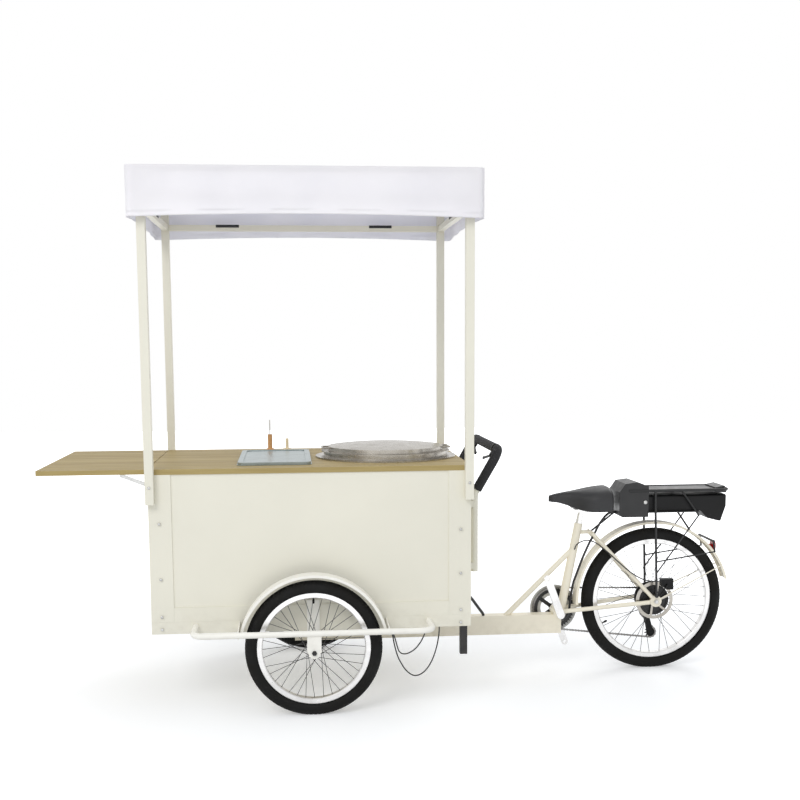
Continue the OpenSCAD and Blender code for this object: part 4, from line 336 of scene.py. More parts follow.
shaded = mixed(wood, ranged(wood, tone, 0.25, 0.75), given["Light"], given["Dark"])
wood.links.new(shaded, result["Base Color"])
wood.links.new(ranged(wood, fibre, 0.3, 0.7, 0.42, 0.6), result["Roughness"])
wood.links.new(fibre, result["Height"])

board = surface("board", wood, {
    "Light": srgb(178, 159, 107), "Dark": srgb(143, 120, 71),
    "Strip": 0.021}, 0.0003, Specular_IOR_Level=0.25)
dress("worktop", board)
dress("shelf", board, 0.002)


# Shelf hinge and braces. Zinc-plated steel leaves screwed under the board and to the cabinet,
# with flat braces that swing in as the shelf folds.
dress("shelf_leaf shelf_hinge shelf_braces", zinc)


# Griddle. A cast-iron plate over a burner in a spun stainless drum, under a lid of spun
# stainless sheet with two side handles.
spun = surface("stainless", steel, {
    "Metal": (0.43, 0.405, 0.365, 1), "Dull": (0.32, 0.295, 0.26, 1), "Along": (30, 30, 900),
    "Roughness Low": 0.20, "Roughness High": 0.36}, 0.0001, Metallic=1.0)

grain, given, result = new_group("moulded_grain", [
    ("Colour", "Color", (0, 0, 0, 1)), ("Dust", "Color", (0, 0, 0, 1)), ("Grain Scale", "Float", 500.0),
    ("Roughness Low", "Float", 0.4), ("Roughness High", "Float", 0.6)],
    [("Base Color", "Color"), ("Roughness", "Float"), ("Height", "Float")])
here = put(grain, "TexCoord").outputs["Object"]
cloud = put(grain, "TexNoise", {"Vector": here, "Scale": 11.0, "Detail": 5.0}).outputs[0]
fine = put(grain, "TexNoise", {"Vector": here, "Scale": given["Grain Scale"], "Detail": 2.0}).outputs[0]
dusty = product(grain, ranged(grain, cloud, 0.42, 0.75), ranged(grain, fine, 0.3, 0.7, 0.4, 1.0))
grain.links.new(mixed(grain, dusty, given["Colour"], given["Dust"]), result["Base Color"])
rough = ranged(grain, cloud, 0.3, 0.7, given["Roughness Low"], given["Roughness High"])
grain.links.new(rough, result["Roughness"])
grain.links.new(fine, result["Height"])
iron = surface("iron_plate", grain, {
    "Colour": srgb(38, 36, 35), "Dust": srgb(72, 66, 60), "Grain Scale": 260.0, "Roughness Low": 0.45,
    "Roughness High": 0.7}, 0.0005)
dress("griddle_body griddle_lid", spun)
dress("griddle_plate", iron)


# Pan. A deep-drawn stainless well let into the worktop by its flange,
# under a loose cover sheet with a steel-blue sheen.
drawn_steel = surface("pan_steel", steel, {
    "Metal": (0.37, 0.425, 0.43, 1), "Dull": (0.29, 0.335, 0.335, 1), "Along": (12, 700, 700),
    "Roughness Low": 0.24, "Roughness High": 0.42}, 0.0001, Metallic=1.0)
dress("pan_well pan_cover", drawn_steel)


# Utensils. A scraper and a batter spreader with turned wooden handles,
# standing in holes of the worktop.
handle_wood = surface("handle_wood", wood, {
    "Light": srgb(226, 178, 122), "Dark": srgb(194, 142, 90), "Strip": 0.01}, 0.0002)
pale_wood = surface("pale_wood", wood, {
    "Light": srgb(247, 234, 204), "Dark": srgb(228, 208, 168), "Strip": 0.01}, 0.0002)
dress("utensils", handle_wood)


def repaint(name, material, chosen):
    """Gives a second material to the faces of a CAD node whose middle is chosen."""
    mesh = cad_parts[name].data
    mesh.materials.append(material)
    for face in mesh.polygons:
        if chosen(face.center):
            face.material_index = len(mesh.materials) - 1


handle_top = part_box("worktop")[1][2] + 0.0675
between_tools = axle_x - 0.12
repaint("utensils", spun, lambda at: at.z > handle_top and at.x < between_tools)
repaint("utensils", pale_wood, lambda at: at.x > between_tools)


# Canopy posts and frame. Square steel tube, powder coated like the cabinet,
# with one dome-headed bolt through the foot of each post.
dress("canopy_posts canopy_frame", cream, 0.002)
post_x = 0.595
post_face_y = 0.4343
post_bolt_z = 0.86
post_bolt_r = 0.006
post_heads = []
for sign_x in (-1, 1):
    for sign_y in (-1, 1):
        foot = (axle_x + sign_x * post_x, sign_y * post_face_y, post_bolt_z)
        post_heads.append(dome(foot, (0, sign_y, 0), post_bolt_r))
gathered("post_bolts", post_heads, zinc, "cart")


# Canopy cover. Coated white polyester, sewn from a roof and a valance with a folded hem,
# pulled over the frame so that it wrinkles near the corners.
cloth, given, result = new_group("woven_cloth", [
    ("Thread", "Color", (1, 1, 1, 1)), ("Shade", "Color", (1, 1, 1, 1)), ("Pitch", "Float", 0.0012)],
    [("Base Color", "Color"), ("Roughness", "Float"), ("Height", "Float")])
here = put(cloth, "TexCoord").outputs["Object"]
apart = put(cloth, "SeparateXYZ", {0: here}).outputs
flat_way = put(cloth, "Math", {0: apart[0], 1: apart[1]}, operation="ADD").outputs[0]
turns = put(cloth, "Math", {0: 6.2832, 1: given["Pitch"]}, operation="DIVIDE").outputs[0]
warp = put(cloth, "Math", {0: product(cloth, flat_way, turns)}, operation="SINE").outputs[0]
weft = put(cloth, "Math", {0: product(cloth, apart[2], turns)}, operation="SINE").outputs[0]
weave = ranged(cloth, product(cloth, warp, weft), -1.0, 1.0)
soiled = put(cloth, "TexNoise", {"Vector": here, "Scale": 5.0, "Detail": 6.0}).outputs[0]
share = put(cloth, "Math", {0: product(cloth, weave, 0.25), 1: ranged(cloth, soiled, 0.4, 0.8, 0.0, 0.75)},
            operation="ADD").outputs[0]
cloth.links.new(mixed(cloth, share, given["Thread"], given["Shade"]), result["Base Color"])
cloth.links.new(ranged(cloth, weave, 0.0, 1.0, 0.55, 0.75), result["Roughness"])
cloth.links.new(weave, result["Height"])

canvas = surface("canvas", cloth, {
    "Thread": srgb(251, 248, 249), "Shade": srgb(244, 241, 243), "Pitch": 0.0012}, 0.0001)
# The cover's inner side is a darker, bluish copy of the same canvas: painted shade for the shaded underside
# of the cover.
canvas_inside_painted_shade = surface("canvas_inside_painted_shade", cloth, {
    "Thread": srgb(246, 247, 252), "Shade": srgb(236, 238, 246), "Pitch": 0.0012}, 0.0001)


def let_through(material, share):
    """Mixes in light that comes through the cloth from its other side."""
    tree = material.node_tree
    woven = next(item for item in tree.nodes if item.type == "GROUP")
    behind = put(tree, "BsdfTranslucent", {"Color": woven.outputs["Base Color"]})
    front = tree.nodes["Principled BSDF"].outputs[0]
    both = put(tree, "MixShader", {0: share, 1: front, 2: behind.outputs[0]})
    tree.links.new(both.outputs[0], tree.nodes["Material Output"].inputs["Surface"])


let_through(canvas, 0.22)
let_through(canvas_inside_painted_shade, 0.5)
cover_low, cover_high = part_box("canopy_cover")
cover_half_x = (cover_high[0] - cover_low[0]) / 2
cover_half_y = (cover_high[1] - cover_low[1]) / 2
cover_mid_x = (cover_high[0] + cover_low[0]) / 2
hem_bottom = cover_low[2]
roof_crown = 0.008
roof_edge = cover_high[2] - roof_crown
corner_r = 0.026
hem_wave = 0.0035
hem_lift = 0.012
side_points = 96
corner_points = 10


def cover_outline():
    """Points round the cover seen from above: place, outward direction and share along its side."""
    outline = []
    for k in range(4):
        long_side = k % 2 == 0
        half = (cover_half_x if long_side else cover_half_y) - corner_r
        reach = (cover_half_y if long_side else cover_half_x)
        turn = Matrix.Rotation(k * math.pi / 2, 2)
        count = side_points if long_side else int(side_points * 0.75)
        for j in range(count):
            u = j / count * 2 - 1
            outline.append((turn @ Vector((u * half, -reach)), turn @ Vector((0, -1)), u))
        for j in range(corner_points):
            a = math.pi / 2 * j / corner_points
            out = Vector((math.sin(a), -math.cos(a)))
            outline.append((turn @ (Vector((half, corner_r - reach)) + corner_r * out), turn @ out, 1.0))
    return outline


cover_verts = []
outline = cover_outline()
count = len(outline)
drops = [0.0, 0.006, 0.012, 0.0175, 0.0185, 0.026, 0.04, 0.056, 0.072, 0.088, 0.104, 0.12, 0.136, 0.15, 0.162,
         0.170, 0.176, 0.180]
for drop in drops:
    share = drop / drops[-1]
    for place, out, u in outline:
        lift = hem_lift * (1 - u * u) * (1 - share)
        z = hem_bottom + lift + (roof_edge - hem_bottom - lift) * share
        wave = hem_wave * math.sin(5 * math.pi * u) * (1 - share) * (1 - u ** 8)
        pull = abs(u) ** 2
        slant = z * 16 * (1 if u > 0 else -1)
        folds = noise.noise(Vector(((place.x + place.y) * 9 + slant, z * 5, 3.7)))
        slack = noise.noise(Vector((place.x * 5, place.y * 5, z * 7)))
        held = math.sin(math.pi * min(1, share * 1.06)) ** 0.6
        crease = (0.0036 * folds * (0.3 + 0.7 * pull) + 0.0022 * slack) * held
        inset = 0.0010 if 0.017 < drop < 0.018 else 0.0
        amount = min(wave + crease - inset, 0.0004) - 0.0030 * (1 - abs(u) ** 6) * math.sin(math.pi * share)
        cover_verts.append((cover_mid_x + place.x + out.x * amount, place.y + out.y * amount, z))
scales = [0.997, 0.990, 0.975, 0.95, 0.91, 0.86, 0.80, 0.73, 0.65, 0.57, 0.49, 0.41, 0.33, 0.25, 0.17,
          0.09, 0.03]
for scale in scales:
    for place, out, u in outline:
        x, y = place.x * scale, place.y * scale
        rise = roof_crown * (1 - scale ** 2) + (0.004 if scale < 0.995 else 0.001) * 0.25
        ripple = 0.0022 * noise.noise(Vector((x * 6, y * 6, 1.3))) * (1 - scale ** 6)
        cover_verts.append((cover_mid_x + x, y, min(roof_edge + rise + ripple, cover_high[2])))
rings = len(drops) + len(scales)
cover_faces = ring_faces(rings, count)
cover_faces.append(tuple(range((rings - 1) * count, rings * count)))
cover = new_mesh("canopy_cloth", cover_verts, cover_faces, canvas)
cover.data.materials.append(canvas_inside_painted_shade)
cloth_thick = cover.modifiers.new("thickness", "SOLIDIFY")
cloth_thick.thickness = 0.0012
cloth_thick.offset = -1
cloth_thick.material_offset = 1
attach(cover, "cart")
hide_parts("canopy_cover")


# Straps. Black webbing tape, sewn inside the cover
# and closed over the frame's lower bars.
webbing = surface("webbing", cloth, {
    "Thread": srgb(26, 26, 28), "Shade": srgb(44, 44, 47), "Pitch": 0.0022}, 0.0003, Roughness=0.8)
strap_low, strap_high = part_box("canopy_straps")
strap_top = strap_high[2] - 0.0002
strap_lap = strap_high[2] - strap_low[2] - 0.0005
strap_l = 0.0985
strap_half = 0.0136
strap_x = 0.330
rail_y = (strap_high[1] - strap_low[1]) / 2 - strap_half - 0.0004
rail_x = (strap_high[0] - strap_low[0]) / 2 - strap_half - 0.0004
strap_mid_x = (strap_high[0] + strap_low[0]) / 2


def strap(place, turned):
    """A band of tape over a rail, open below, with its two sides hanging down the rail."""
    steps = 40
    corner = 0.0022
    section = [(-strap_half, -strap_lap), (-strap_half, -strap_lap / 2), (-strap_half, -corner)]
    section += [(-strap_half + corner * 0.4, -corner * 0.4), (-strap_half + corner, 0), (0, 0.0)]
    section += [(-y, z) for y, z in reversed(section[:-1])]
    verts, faces = [], []
    for k in range(steps + 1):
        along = (k / steps - 0.5) * strap_l
        for y, z in section:
            ripple = 0.0003 * noise.noise(Vector((along * 60, y * 90, place.x * 3 + place.y)))
            spot = Vector((along, y * (1 + ripple * 10), z + min(ripple, 0.0)))
            verts.append(place + (Vector((-spot.y, spot.x, spot.z)) if turned else spot))
    n = len(section)
    for k in range(steps):
        faces += [(k * n + j, (k + 1) * n + j, (k + 1) * n + j + 1, k * n + j + 1) for j in range(n - 1)]
    return verts, faces


bands = [strap(Vector((strap_mid_x + sx * strap_x, sy * rail_y, strap_top)), False)
         for sx in (-1, 1) for sy in (-1, 1)]
bands += [strap(Vector((strap_mid_x + sx * rail_x, 0, strap_top)), True) for sx in (-1, 1)]
straps = gathered("rail_straps", bands, webbing, "cart")
strap_thick = straps.modifiers.new("thickness", "SOLIDIFY")
strap_thick.thickness = 0.0011
strap_thick.offset = -1
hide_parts("canopy_straps")


# Handlebar. One bent steel tube, powder coated,
# welded to feet on the cabinet's rear wall.
dress("handlebar", cream)


# Foam sleeves and lever clamps. Black closed-cell foam pushed over the handlebar, and cast clamps
# that hold the brake levers' pins.
foam = surface("foam", grain, {
    "Colour": srgb(27, 27, 29), "Dust": srgb(50, 49, 49), "Grain Scale": 900.0, "Roughness Low": 0.75,
    "Roughness High": 0.95}, 0.0004)
plastic = surface("black_plastic", grain, {
    "Colour": srgb(6, 6, 7), "Dust": srgb(15, 15, 14), "Grain Scale": 800.0, "Roughness Low": 0.38,
    "Roughness High": 0.55}, 0.0002, Specular_IOR_Level=0.25)
crossbar = Vector((axle_x + 0.7310, 0, 0.9692))
bar_lean = math.radians(30)
bar_y = 0.300
bend_r = 0.050
slope_l = 0.128
tube_r = 0.0143
foam_r = 0.0190
foam_round = 0.005
clamp_y = 0.222
clamp_r = 0.0198
clamp_half = 0.0108


def on_bar(ahead, across_bar, up):
    return crossbar + Vector((ahead * math.cos(bar_lean) + up * math.sin(bar_lean), across_bar,
                              up * math.cos(bar_lean) - ahead * math.sin(bar_lean)))


def length_of(line):
    return sum((b - a).length for a, b in zip(line, line[1:]))


def sweep(line, radius, sides):
    """Rings of points round a line, with the faces between them and the two end caps."""
    verts, across_line = [], None
    for k, place in enumerate(line):
        along = (line[min(k + 1, len(line) - 1)] - line[max(k - 1, 0)]).normalized()
        start = across_line or along.orthogonal()
        across_line = (start - along * start.dot(along)).normalized()
        other = along.cross(across_line)
        r = radius(k / (len(line) - 1)) if callable(radius) else radius
        verts += [place + r * (math.cos(a) * across_line + math.sin(a) * other)
                  for a in (2 * math.pi * j / sides for j in range(sides))]
    faces = ring_faces(len(line), sides)
    faces.append(tuple(reversed(range(sides))))
    faces.append(tuple(range(len(verts) - sides, len(verts))))
    return verts, faces


def sleeve(line, outer, edge):
    """A tube round a line with rounded ends and a slightly uneven skin."""
    reach = length_of(line)

    def radius(share):
        inset = min(share, 1 - share) * reach
        full = outer - 0.00025 * (1 + noise.noise(Vector((share * reach * 90, outer * 400, 2.1))))
        if inset >= edge:
            return full
        return tube_r + (full - tube_r) * math.sqrt(1 - (1 - inset / edge) ** 2)

    return sweep(line, radius, 28)


def evenly(line, gap):
    """The same line with points at an even spacing, closer near its ends."""
    reach = length_of(line)
    stops = [k * 0.0008 for k in range(8)]
    stops += [0.006 + k * gap for k in range(1, int((reach - 0.012) / gap))]
    stops += [reach - stop for stop in reversed(stops[:8])]
    found, done, k = [], 0.0, 0
    for stop in stops:
        while k < len(line) - 2 and done + (line[k + 1] - line[k]).length < stop:
            done += (line[k + 1] - line[k]).length
            k += 1
        step = (line[k + 1] - line[k]).length
        found.append(line[k].lerp(line[k + 1], (stop - done) / step))
    return found


sleeves = []
for sign in (-1, 1):
    leg_line = [on_bar(0, sign * bar_y, -bend_r - slope_l + 0.0005), on_bar(0, sign * bar_y, -bend_r)]
    leg_line += [on_bar(0, sign * (bar_y - bend_r * (1 - math.cos(a))), -bend_r * (1 - math.sin(a)))
                 for a in (math.pi / 2 * j / 16 for j in range(1, 17))]
    sleeves.append(sleeve(evenly(leg_line, 0.004), foam_r, foam_round))
middle_end = 0.2065
middle_line = evenly([on_bar(0, -middle_end, 0), on_bar(0, middle_end, 0)], 0.004)
sleeves.append(sleeve(middle_line, foam_r, foam_round))
foam_sleeves = gathered("foam_sleeves", sleeves, foam, "cart")
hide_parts("handlebar_fittings")


def ear(sign, ahead):
    """One cheek of a lever clamp: a plate from the ring down round the lever's pin."""
    pin_y, pin_z, eye_r, half_t = 0.214, -0.032, 0.0063, 0.0023
    edge = [(0.2325, -0.010), (0.2315, -0.024)]
    edge += [(pin_y + eye_r * math.cos(a), pin_z + eye_r * math.sin(a))
             for a in (math.radians(-20 - 160 * j / 12) for j in range(13))]
    edge += [(0.2078, -0.010)]
    verts = [on_bar(ahead + side_x, sign * y, z) for side_x in (-half_t, half_t) for y, z in edge]
    n = len(edge)
    faces = [tuple(range(n)), tuple(reversed(range(n, 2 * n)))]
    faces += [(j, n + j, n + (j + 1) % n, (j + 1) % n) for j in range(n)]
    return verts, faces


clamps = []
for sign in (-1, 1):
    ring_line = [on_bar(0, sign * (clamp_y + clamp_half * share), 0)
                 for share in (-1, -0.98, -0.94, -0.86, -0.5, 0, 0.5, 0.86, 0.94, 0.98, 1)]
    clamps.append(sleeve(ring_line, clamp_r, 0.0015))
    clamps += [ear(sign, ahead) for ahead in (-0.0068, 0.0068)]
lever_clamps = gathered("lever_clamps", clamps, plastic, "cart")
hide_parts("handlebar_fittings")
dress("brake_lever_left brake_lever_right", plastic, 0.0012)


# Support legs. Square steel tube, painted black, that slides
# in sleeves at the cabinet's rear corners.
black_paint = surface("black_paint", paint, {
    "Paint": srgb(19, 19, 20), "Soil": srgb(88, 82, 74), "Soil Height": 0.35}, 0.0002)
dress("leg_left leg_right", black_paint, 0.002)


# Guard bars and front mudguards. Bent steel tube round the wheels and pressed sheet
# over them, coated a cooler white than the cabinet.
white = surface("white_paint", paint, {
    "Paint": srgb(248, 245, 236), "Soil": srgb(190, 184, 172), "Soil Height": 0.40}, 0.0002)
dress("guard_bars front_mudguards", white)


# Front wheels. Rubber tyres on hollow alloy rims, laced with steel spokes to alloy hubs that
# turn on black axles between the guard bar's plate and the cabinet's.
alloy = surface("alloy", steel, {
    "Metal": (0.84, 0.83, 0.82, 1), "Dull": (0.66, 0.65, 0.64, 1), "Along": (140, 140, 140),
    "Roughness Low": 0.24, "Roughness High": 0.40}, 0.0001, Metallic=1.0)
rubber = surface("tyre_rubber", grain, {
    "Colour": srgb(9, 9, 8), "Dust": srgb(24, 22, 18), "Grain Scale": 600.0, "Roughness Low": 0.62,
    "Roughness High": 0.85}, 0.0003, Specular_IOR_Level=0.25)
spoke_steel = surface("spoke_steel", steel, {
    "Metal": (0.075, 0.075, 0.075, 1), "Dull": (0.05, 0.05, 0.048, 1), "Along": (300, 300, 300),
    "Roughness Low": 0.4, "Roughness High": 0.55}, 0.0001, Metallic=0.5)
dress("front_rim_left front_rim_right front_hub_left front_hub_right", alloy)
rim_h = 0.0205


def dark_spokes(node):
    low, high = (Vector(corner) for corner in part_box(node))
    middle = (low + high) / 2
    inside = (high.z - low.z) / 2 - rim_h
    repaint(node, spoke_steel, lambda at: math.hypot(at.x - middle.x, at.z - middle.z) < inside)


dark_spokes("front_rim_left")
dark_spokes("front_rim_right")
dress("front_axles", black_paint)


def tyre(name, node, body, blocks):
    """A tyre with a moulded tread of three rows of blocks, in the place of a CAD tyre."""
    low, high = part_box(node)
    middle = (Vector(low) + Vector(high)) / 2
    radius = (high[2] - low[2]) / 2
    section = (high[1] - low[1]) / 2
    centre = radius - section
    sides, per_block = 34, 5
    around = blocks * per_block
    verts, faces = [], []
    half_open = math.radians(132)
    for i in range(around):
        a = 2 * math.pi * i / around
        for j in range(sides + 1):
            b = -half_open + 2 * half_open * j / sides
            r = section
            ribs = [(0.0, 0.20, 0), (0.42, 0.16, 2), (0.82, 0.16, 4)]
            groove = 0.0
            if abs(b) < 1.02:
                groove = 0.0018
                for mid, half, shift in ribs:
                    if abs(abs(b) - mid) < half and (i + shift) % per_block < per_block - 1:
                        groove = 0.0
            r -= groove
            ring = centre + r * math.cos(b)
            verts.append(middle + Vector((ring * math.sin(a), r * math.sin(b), ring * math.cos(a))))
    step = sides + 1
    for i in range(around):
        n = (i + 1) % around
        faces += [(i * step + j, i * step + j + 1, n * step + j + 1, n * step + j) for j in range(sides)]
    made = new_mesh(name, verts, faces, rubber)
    made.data.set_sharp_from_angle(angle=math.radians(30))
    wall = made.modifiers.new("wall", "SOLIDIFY")
    wall.thickness = 0.003
    wall.offset = -1
    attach(made, body)
    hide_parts(node)


def valve(rim, turn):
    """A tyre valve with its cap, pointing from the rim to the hub; turn is its angle from the rear."""
    low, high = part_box(rim)
    middle = (Vector(low) + Vector(high)) / 2
    start = (high[2] - low[2]) / 2 - 0.0195
    way = Vector((math.cos(turn), 0, math.sin(turn)))
    steps = [0.0, 0.0022, 0.0023, 0.010, 0.0101, 0.0115, 0.0215, 0.0235, 0.024]
    wide = [0.0052, 0.0050, 0.0031, 0.0030, 0.0042, 0.0044, 0.0042, 0.0030, 0.0012]
    line = [middle + way * (start - step) for step in steps]
    return sweep(line, lambda share: wide[round(share * (len(steps) - 1))], 14)


gathered("valve_front_left", [valve("front_rim_left", math.radians(90))], rubber, "front_wheel_left")
gathered("valve_front_right", [valve("front_rim_right", math.radians(120))], rubber, "front_wheel_right")
tyre("tyre_front_left", "front_tyre_left", "front_wheel_left", 96)
tyre("tyre_front_right", "front_tyre_right", "front_wheel_right", 96)


# Steering head and beam. A boxed steel beam under the floor with a pin at the front and a welded
# bottom bracket; the bicycle's rear half hangs on it.
frame_paint = surface("frame_paint", paint, {
    "Paint": srgb(246, 238, 218), "Soil": srgb(188, 176, 152), "Soil Height": 0.24}, 0.0002)
dress("steering_head beam seat_mast chain_stays seat_stays", frame_paint)
dress("rear_axle", zinc)


# Rear wheel. A wider tyre on an alloy rim, laced to a motor hub in a black shell, with a
# slotted steel rotor on its left side and a calliper on the seat stay.
tyre("tyre_rear", "rear_tyre", "rear_wheel", 110)
gathered("valve_rear", [valve("rear_rim", math.radians(206))], rubber, "rear_wheel")
dress("rear_rim", alloy)
dark_spokes("rear_rim")
dress("hub_motor", black_paint)
dress("brake_rotor", spun)
dress("rear_brake", plastic)


# Drive. Forged alloy cranks with a steel chainring, a roller chain with plated plates,
# a stamped freewheel and a derailleur whose pulleys keep the chain tight.
chain_steel = surface("chain_steel", steel, {
    "Metal": (0.32, 0.31, 0.30, 1), "Dull": (0.14, 0.13, 0.12, 1), "Along": (220, 220, 220),
    "Roughness Low": 0.32, "Roughness High": 0.5}, 0.0002, Metallic=1.0)
guard_grey = surface("guard_disc", grain, {
    "Colour": srgb(205, 204, 199), "Dust": srgb(176, 172, 164), "Grain Scale": 420.0,
    "Roughness Low": 0.38, "Roughness High": 0.55}, 0.0003)
dress("crankset", alloy)
crank_at = Vector((axle_x + 1.035, 0, 0.254))
ring_y = 0.0520
disc_y = 0.0564


def from_crank(at):
    return math.hypot(at.x - crank_at.x, at.z - crank_at.z)


repaint("crankset", black_paint, lambda at: ring_y - 0.0015 < at.y < disc_y and from_crank(at) > 0.0175)
repaint("crankset", guard_grey, lambda at: disc_y <= at.y < disc_y + 0.0025 and from_crank(at) > 0.054)
dress("chain freewheel", chain_steel)
dress("derailleur", plastic)


# Rear mudguard. Pressed steel sheet with two wire stays,
# coated like the frame.
dress("rear_mudguard", frame_paint)


# Rack, battery and reflector. Black tubular rack that carries a slide-in battery in a moulded case;
# a red moulded reflector is bolted to the mudguard.
lens_red = surface("red_lens", grain, {
    "Colour": srgb(176, 22, 20), "Dust": srgb(120, 14, 14), "Grain Scale": 300.0, "Roughness Low": 0.12,
    "Roughness High": 0.25}, 0.0006)
dress("rack", black_paint)
dress("battery", plastic, 0.002)
lock = dome((axle_x + 1.388, -0.0763, 0.722), (0, -1, 0), 0.0085)
gathered("battery_lock", [lock], zinc, "rear_frame")
dress("tail_reflector", lens_red)


# Seat post and saddle. A drawn alloy post in a clamp, and a foam saddle under a stretched black
# cover on two steel rails.
dress("seat_post", alloy)
vinyl = surface("saddle_cover", grain, {
    "Colour": srgb(29, 29, 31), "Dust": srgb(46, 46, 48), "Grain Scale": 420.0, "Roughness Low": 0.42,
    "Roughness High": 0.6}, 0.0005)
saddle_low, saddle_high = (Vector(corner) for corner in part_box("saddle"))
saddle_l = saddle_high.x - saddle_low.x
saddle_half_w = (saddle_high.y - saddle_low.y) / 2
saddle_top_z = saddle_high.z + 0.0012
saddle_deep = 0.062
skin = 0.0012


def back_part(t):
    return max(0.0, (t - 0.9) / 0.1)


def saddle_ring(t, points):
    """Section of the saddle at a share of its length: rounded top, deep skirts and a hollow between them."""
    widen = min(1.0, max(0.0, (t - 0.12) / 0.62))
    rounded = (0.4 + 0.6 * math.sin(math.pi / 2 * t / 0.1) if t < 0.1
               else math.sqrt(1 - 0.88 * back_part(t) ** 2))
    half = saddle_half_w * (0.2 + 0.8 * math.sin(math.pi / 2 * widen) ** 2.2) * rounded - skin
    top = saddle_top_z - saddle_deep * (0.62 * (1 - t) ** 2 + 0.08 * math.sin(math.pi * t) ** 2
                                        + 0.45 * back_part(t) ** 2)
    skirt = 0.6 * math.sin(math.pi / 2 * min(1, t / 0.62)) ** 2 - 0.35 * back_part(t) ** 2
    low = saddle_top_z - saddle_deep * (1 + 0.05 * (1 - t) + skirt)
    low = min(low, top - saddle_deep * 0.25) + skin
    belt = low + (top - low) * 0.38
    hollow = (top - low) * 0.55 * min(1.0, 2 * math.sin(math.pi * t))
    x = saddle_low.x + skin + t * (saddle_l - 2 * skin)
    ring = []
    for k in range(points):
        a = -2 * math.pi * k / points
        c, up = math.cos(a), math.sin(a)
        y = half * math.copysign(abs(c) ** 0.75, c)
        if up >= -1e-9:
            along = math.sin(math.pi * min(1, max(0, (t - 0.2) / 0.75))) ** 2
            dent = 0.0035 * math.exp(-(y / 0.016) ** 2) * along
            z = belt + (top - belt) * max(up, 0.0) ** 0.75 - dent
        else:
            z = low + hollow * (1 - abs(c) ** 4)
        ring.append(Vector((x, y, z)))
    return ring


saddle_rings, saddle_points = 72, 96
saddle_verts, saddle_faces = [], []
for i in range(saddle_rings):
    saddle_verts += saddle_ring(i / (saddle_rings - 1), saddle_points)
for i in range(saddle_rings - 1):
    for k in range(saddle_points):
        near, far = i * saddle_points, (i + 1) * saddle_points
        after = (k + 1) % saddle_points
        saddle_faces.append((near + k, far + k, far + after, near + after))
saddle_faces.append(tuple(range(saddle_points)))
saddle_faces.append(tuple(reversed(range((saddle_rings - 1) * saddle_points, saddle_rings * saddle_points))))
pad = new_mesh("saddle_pad", saddle_verts, saddle_faces, vinyl)
pad.data.set_sharp_from_angle(angle=math.radians(60))
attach(pad, "saddle")
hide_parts("saddle")

piping_rings = [saddle_ring(i / 59, saddle_points) for i in range(60)]
piping = []
for k in (6, saddle_points - 42):
    edge = [ring[-k % saddle_points] for ring in piping_rings[2:-1]]
    sunk = [at - Vector((0, math.copysign(0.0006, at.y), 0.0006)) for at in edge]
    piping.append(sweep(sunk, 0.0016, 8))
seam = gathered("saddle_piping", piping, vinyl, "saddle")
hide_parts("saddle")


def smoothed(points, steps):
    ends = [points[0]] + points + [points[-1]]
    line = []
    for a, b, c, d in zip(ends, ends[1:], ends[2:], ends[3:]):
        for k in range(steps):
            t = k / steps
            line.append(0.5 * (2 * b + (c - a) * t + (2 * a - 5 * b + 4 * c - d) * t * t
                               + (3 * b - a - 3 * c + d) * t ** 3))
    return line + [points[-1]]


post_low, post_high = (Vector(corner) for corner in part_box("seat_post"))
rail_mid = Vector((post_high.x - 0.022, 0, post_high.z - 0.013))
rails = []
for sign in (-1, 1):
    bends = [(-0.086, 0.0115, 0.062), (-0.060, 0.017, 0.030), (-0.042, 0.0215, 0.006), (-0.030, 0.022, 0),
             (0, 0.022, 0), (0.030, 0.022, 0), (0.042, 0.0245, 0.006), (0.060, 0.032, 0.030),
             (0.086, 0.043, 0.062)]
    rails.append(sweep(smoothed([rail_mid + Vector((x, sign * y, z)) for x, y, z in bends], 6), 0.0034, 12))
saddle_rails = gathered("saddle_rails", rails, zinc, "saddle")
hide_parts("saddle")


# Cable casings. Black extruded plastic over wound wire: two thin ones hang in loops from the
# guard bar to the cabinet and one runs to the rear calliper. A thicker one carries the motor's
# wires, and a conduit crosses the steering.
casing = surface("cable_casing", grain, {
    "Colour": srgb(24, 24, 26), "Dust": srgb(52, 51, 50), "Grain Scale": 700.0, "Roughness Low": 0.35,
    "Roughness High": 0.55}, 0.0002)


def placed(points):
    return [Vector((axle_x + x / 1000, y / 1000, z / 1000)) for x, y, z in points]


def cable(name, points, diameter, body, node):
    line = smoothed(placed(points), 4)
    curve = bpy.data.curves.new(name, "CURVE")
    curve.dimensions = "3D"
    curve.bevel_depth = diameter / 2
    curve.bevel_resolution = 4
    curve.use_fill_caps = True
    spline = curve.splines.new("POLY")
    spline.points.add(len(line) - 1)
    for point, place in zip(spline.points, line):
        point.co = (*place, 1)
    spline.use_smooth = True
    curve.materials.append(casing)
    made = bpy.data.objects.new(name, curve)
    bpy.context.scene.collection.objects.link(made)
    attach(made, body)
    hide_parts(node)


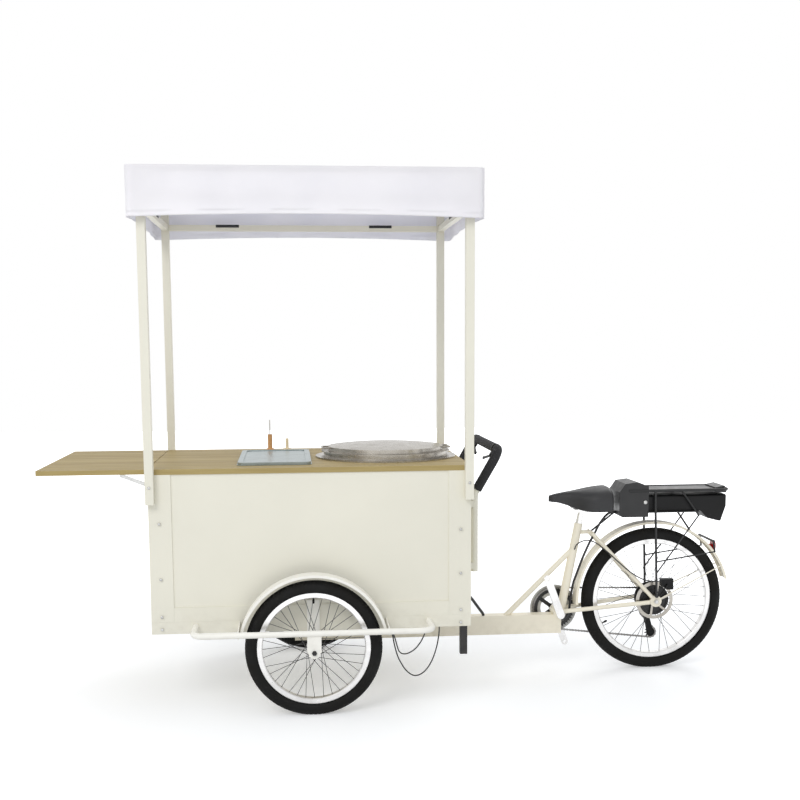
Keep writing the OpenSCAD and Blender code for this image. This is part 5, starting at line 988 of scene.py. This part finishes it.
thin_d = 0.005
loom_d = 0.010
cable("brake_loop_small", [
    (279.6, -532, 320), (287, -532, 318), (296, -528, 304), (303, -520, 282), (310, -507, 257),
    (317, -492, 236), (327, -476, 222), (340, -460, 214), (356, -446, 212), (373, -433, 216),
    (390, -421, 225), (405, -410, 239), (417, -401, 255), (426, -394, 272), (431, -389, 288),
    (432, -387, 300.6)], thin_d, "cart", "brake_cables")
cable("brake_loop_large", [
    (279.6, -518, 320), (286, -518, 317), (292, -516, 302), (297, -512, 274), (304, -505, 244),
    (314, -495, 212), (327, -482, 184), (342, -467, 158), (360, -450, 136), (378, -435, 122),
    (398, -421, 118), (418, -410, 124), (437, -401, 140), (453, -395, 164), (466, -391, 194),
    (476, -388, 228), (482, -387, 262), (484, -387, 284), (484, -387, 300.6)],
    thin_d, "cart", "brake_cables")
cable("motor_loom", [
    (1277.6, -14, 676), (1266, -14, 675), (1252, -14, 670), (1239, -15, 661), (1227, -16, 648),
    (1215, -16, 631), (1203, -16, 611), (1192, -16, 588), (1180, -16, 566), (1168, -14, 542),
    (1156, -12, 514), (1144, -9, 484), (1132, -6, 450), (1120, -3, 414), (1108, 0, 378),
    (1101, 0, 344), (1096, 0, 312), (1093, 0, 284), (1090, 0, 258), (1083, 0, 236), (1070, 0, 221),
    (1059, 0, 216), (1050.6, 0, 215)], loom_d, "rear_frame", "rear_cables")
cable("rear_brake_cable", [
    (1105, -18.6, 520), (1106, -24, 526), (1108, -31, 538), (1116, -38, 548), (1128, -44, 557),
    (1143, -49, 562), (1160, -53, 562), (1178, -56, 556), (1198, -59, 544), (1222, -62, 524),
    (1250, -66, 500), (1282, -70, 470), (1316, -74, 440), (1350, -76, 415), (1384, -76, 397),
    (1416, -74, 388), (1442, -69, 385), (1458, -63, 384), (1467.6, -60, 384)],
    thin_d, "rear_frame", "rear_cables")

conduit_line = smoothed(placed([
    (605.4, -96, 372), (613, -96, 371.5), (624, -94, 366), (638, -88, 356), (652, -80, 342), (666, -70, 325),
    (679, -58, 307), (691, -46, 290), (702, -34, 275), (711, -24, 263), (717, -16, 254), (719, -13, 249),
    (719, -12, 246.2)]), 4)
conduit_d = 0.012
conduit = new_mesh("wiring_conduit", *sweep(conduit_line, conduit_d / 2, 20), casing)
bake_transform(conduit)
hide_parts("conduit")
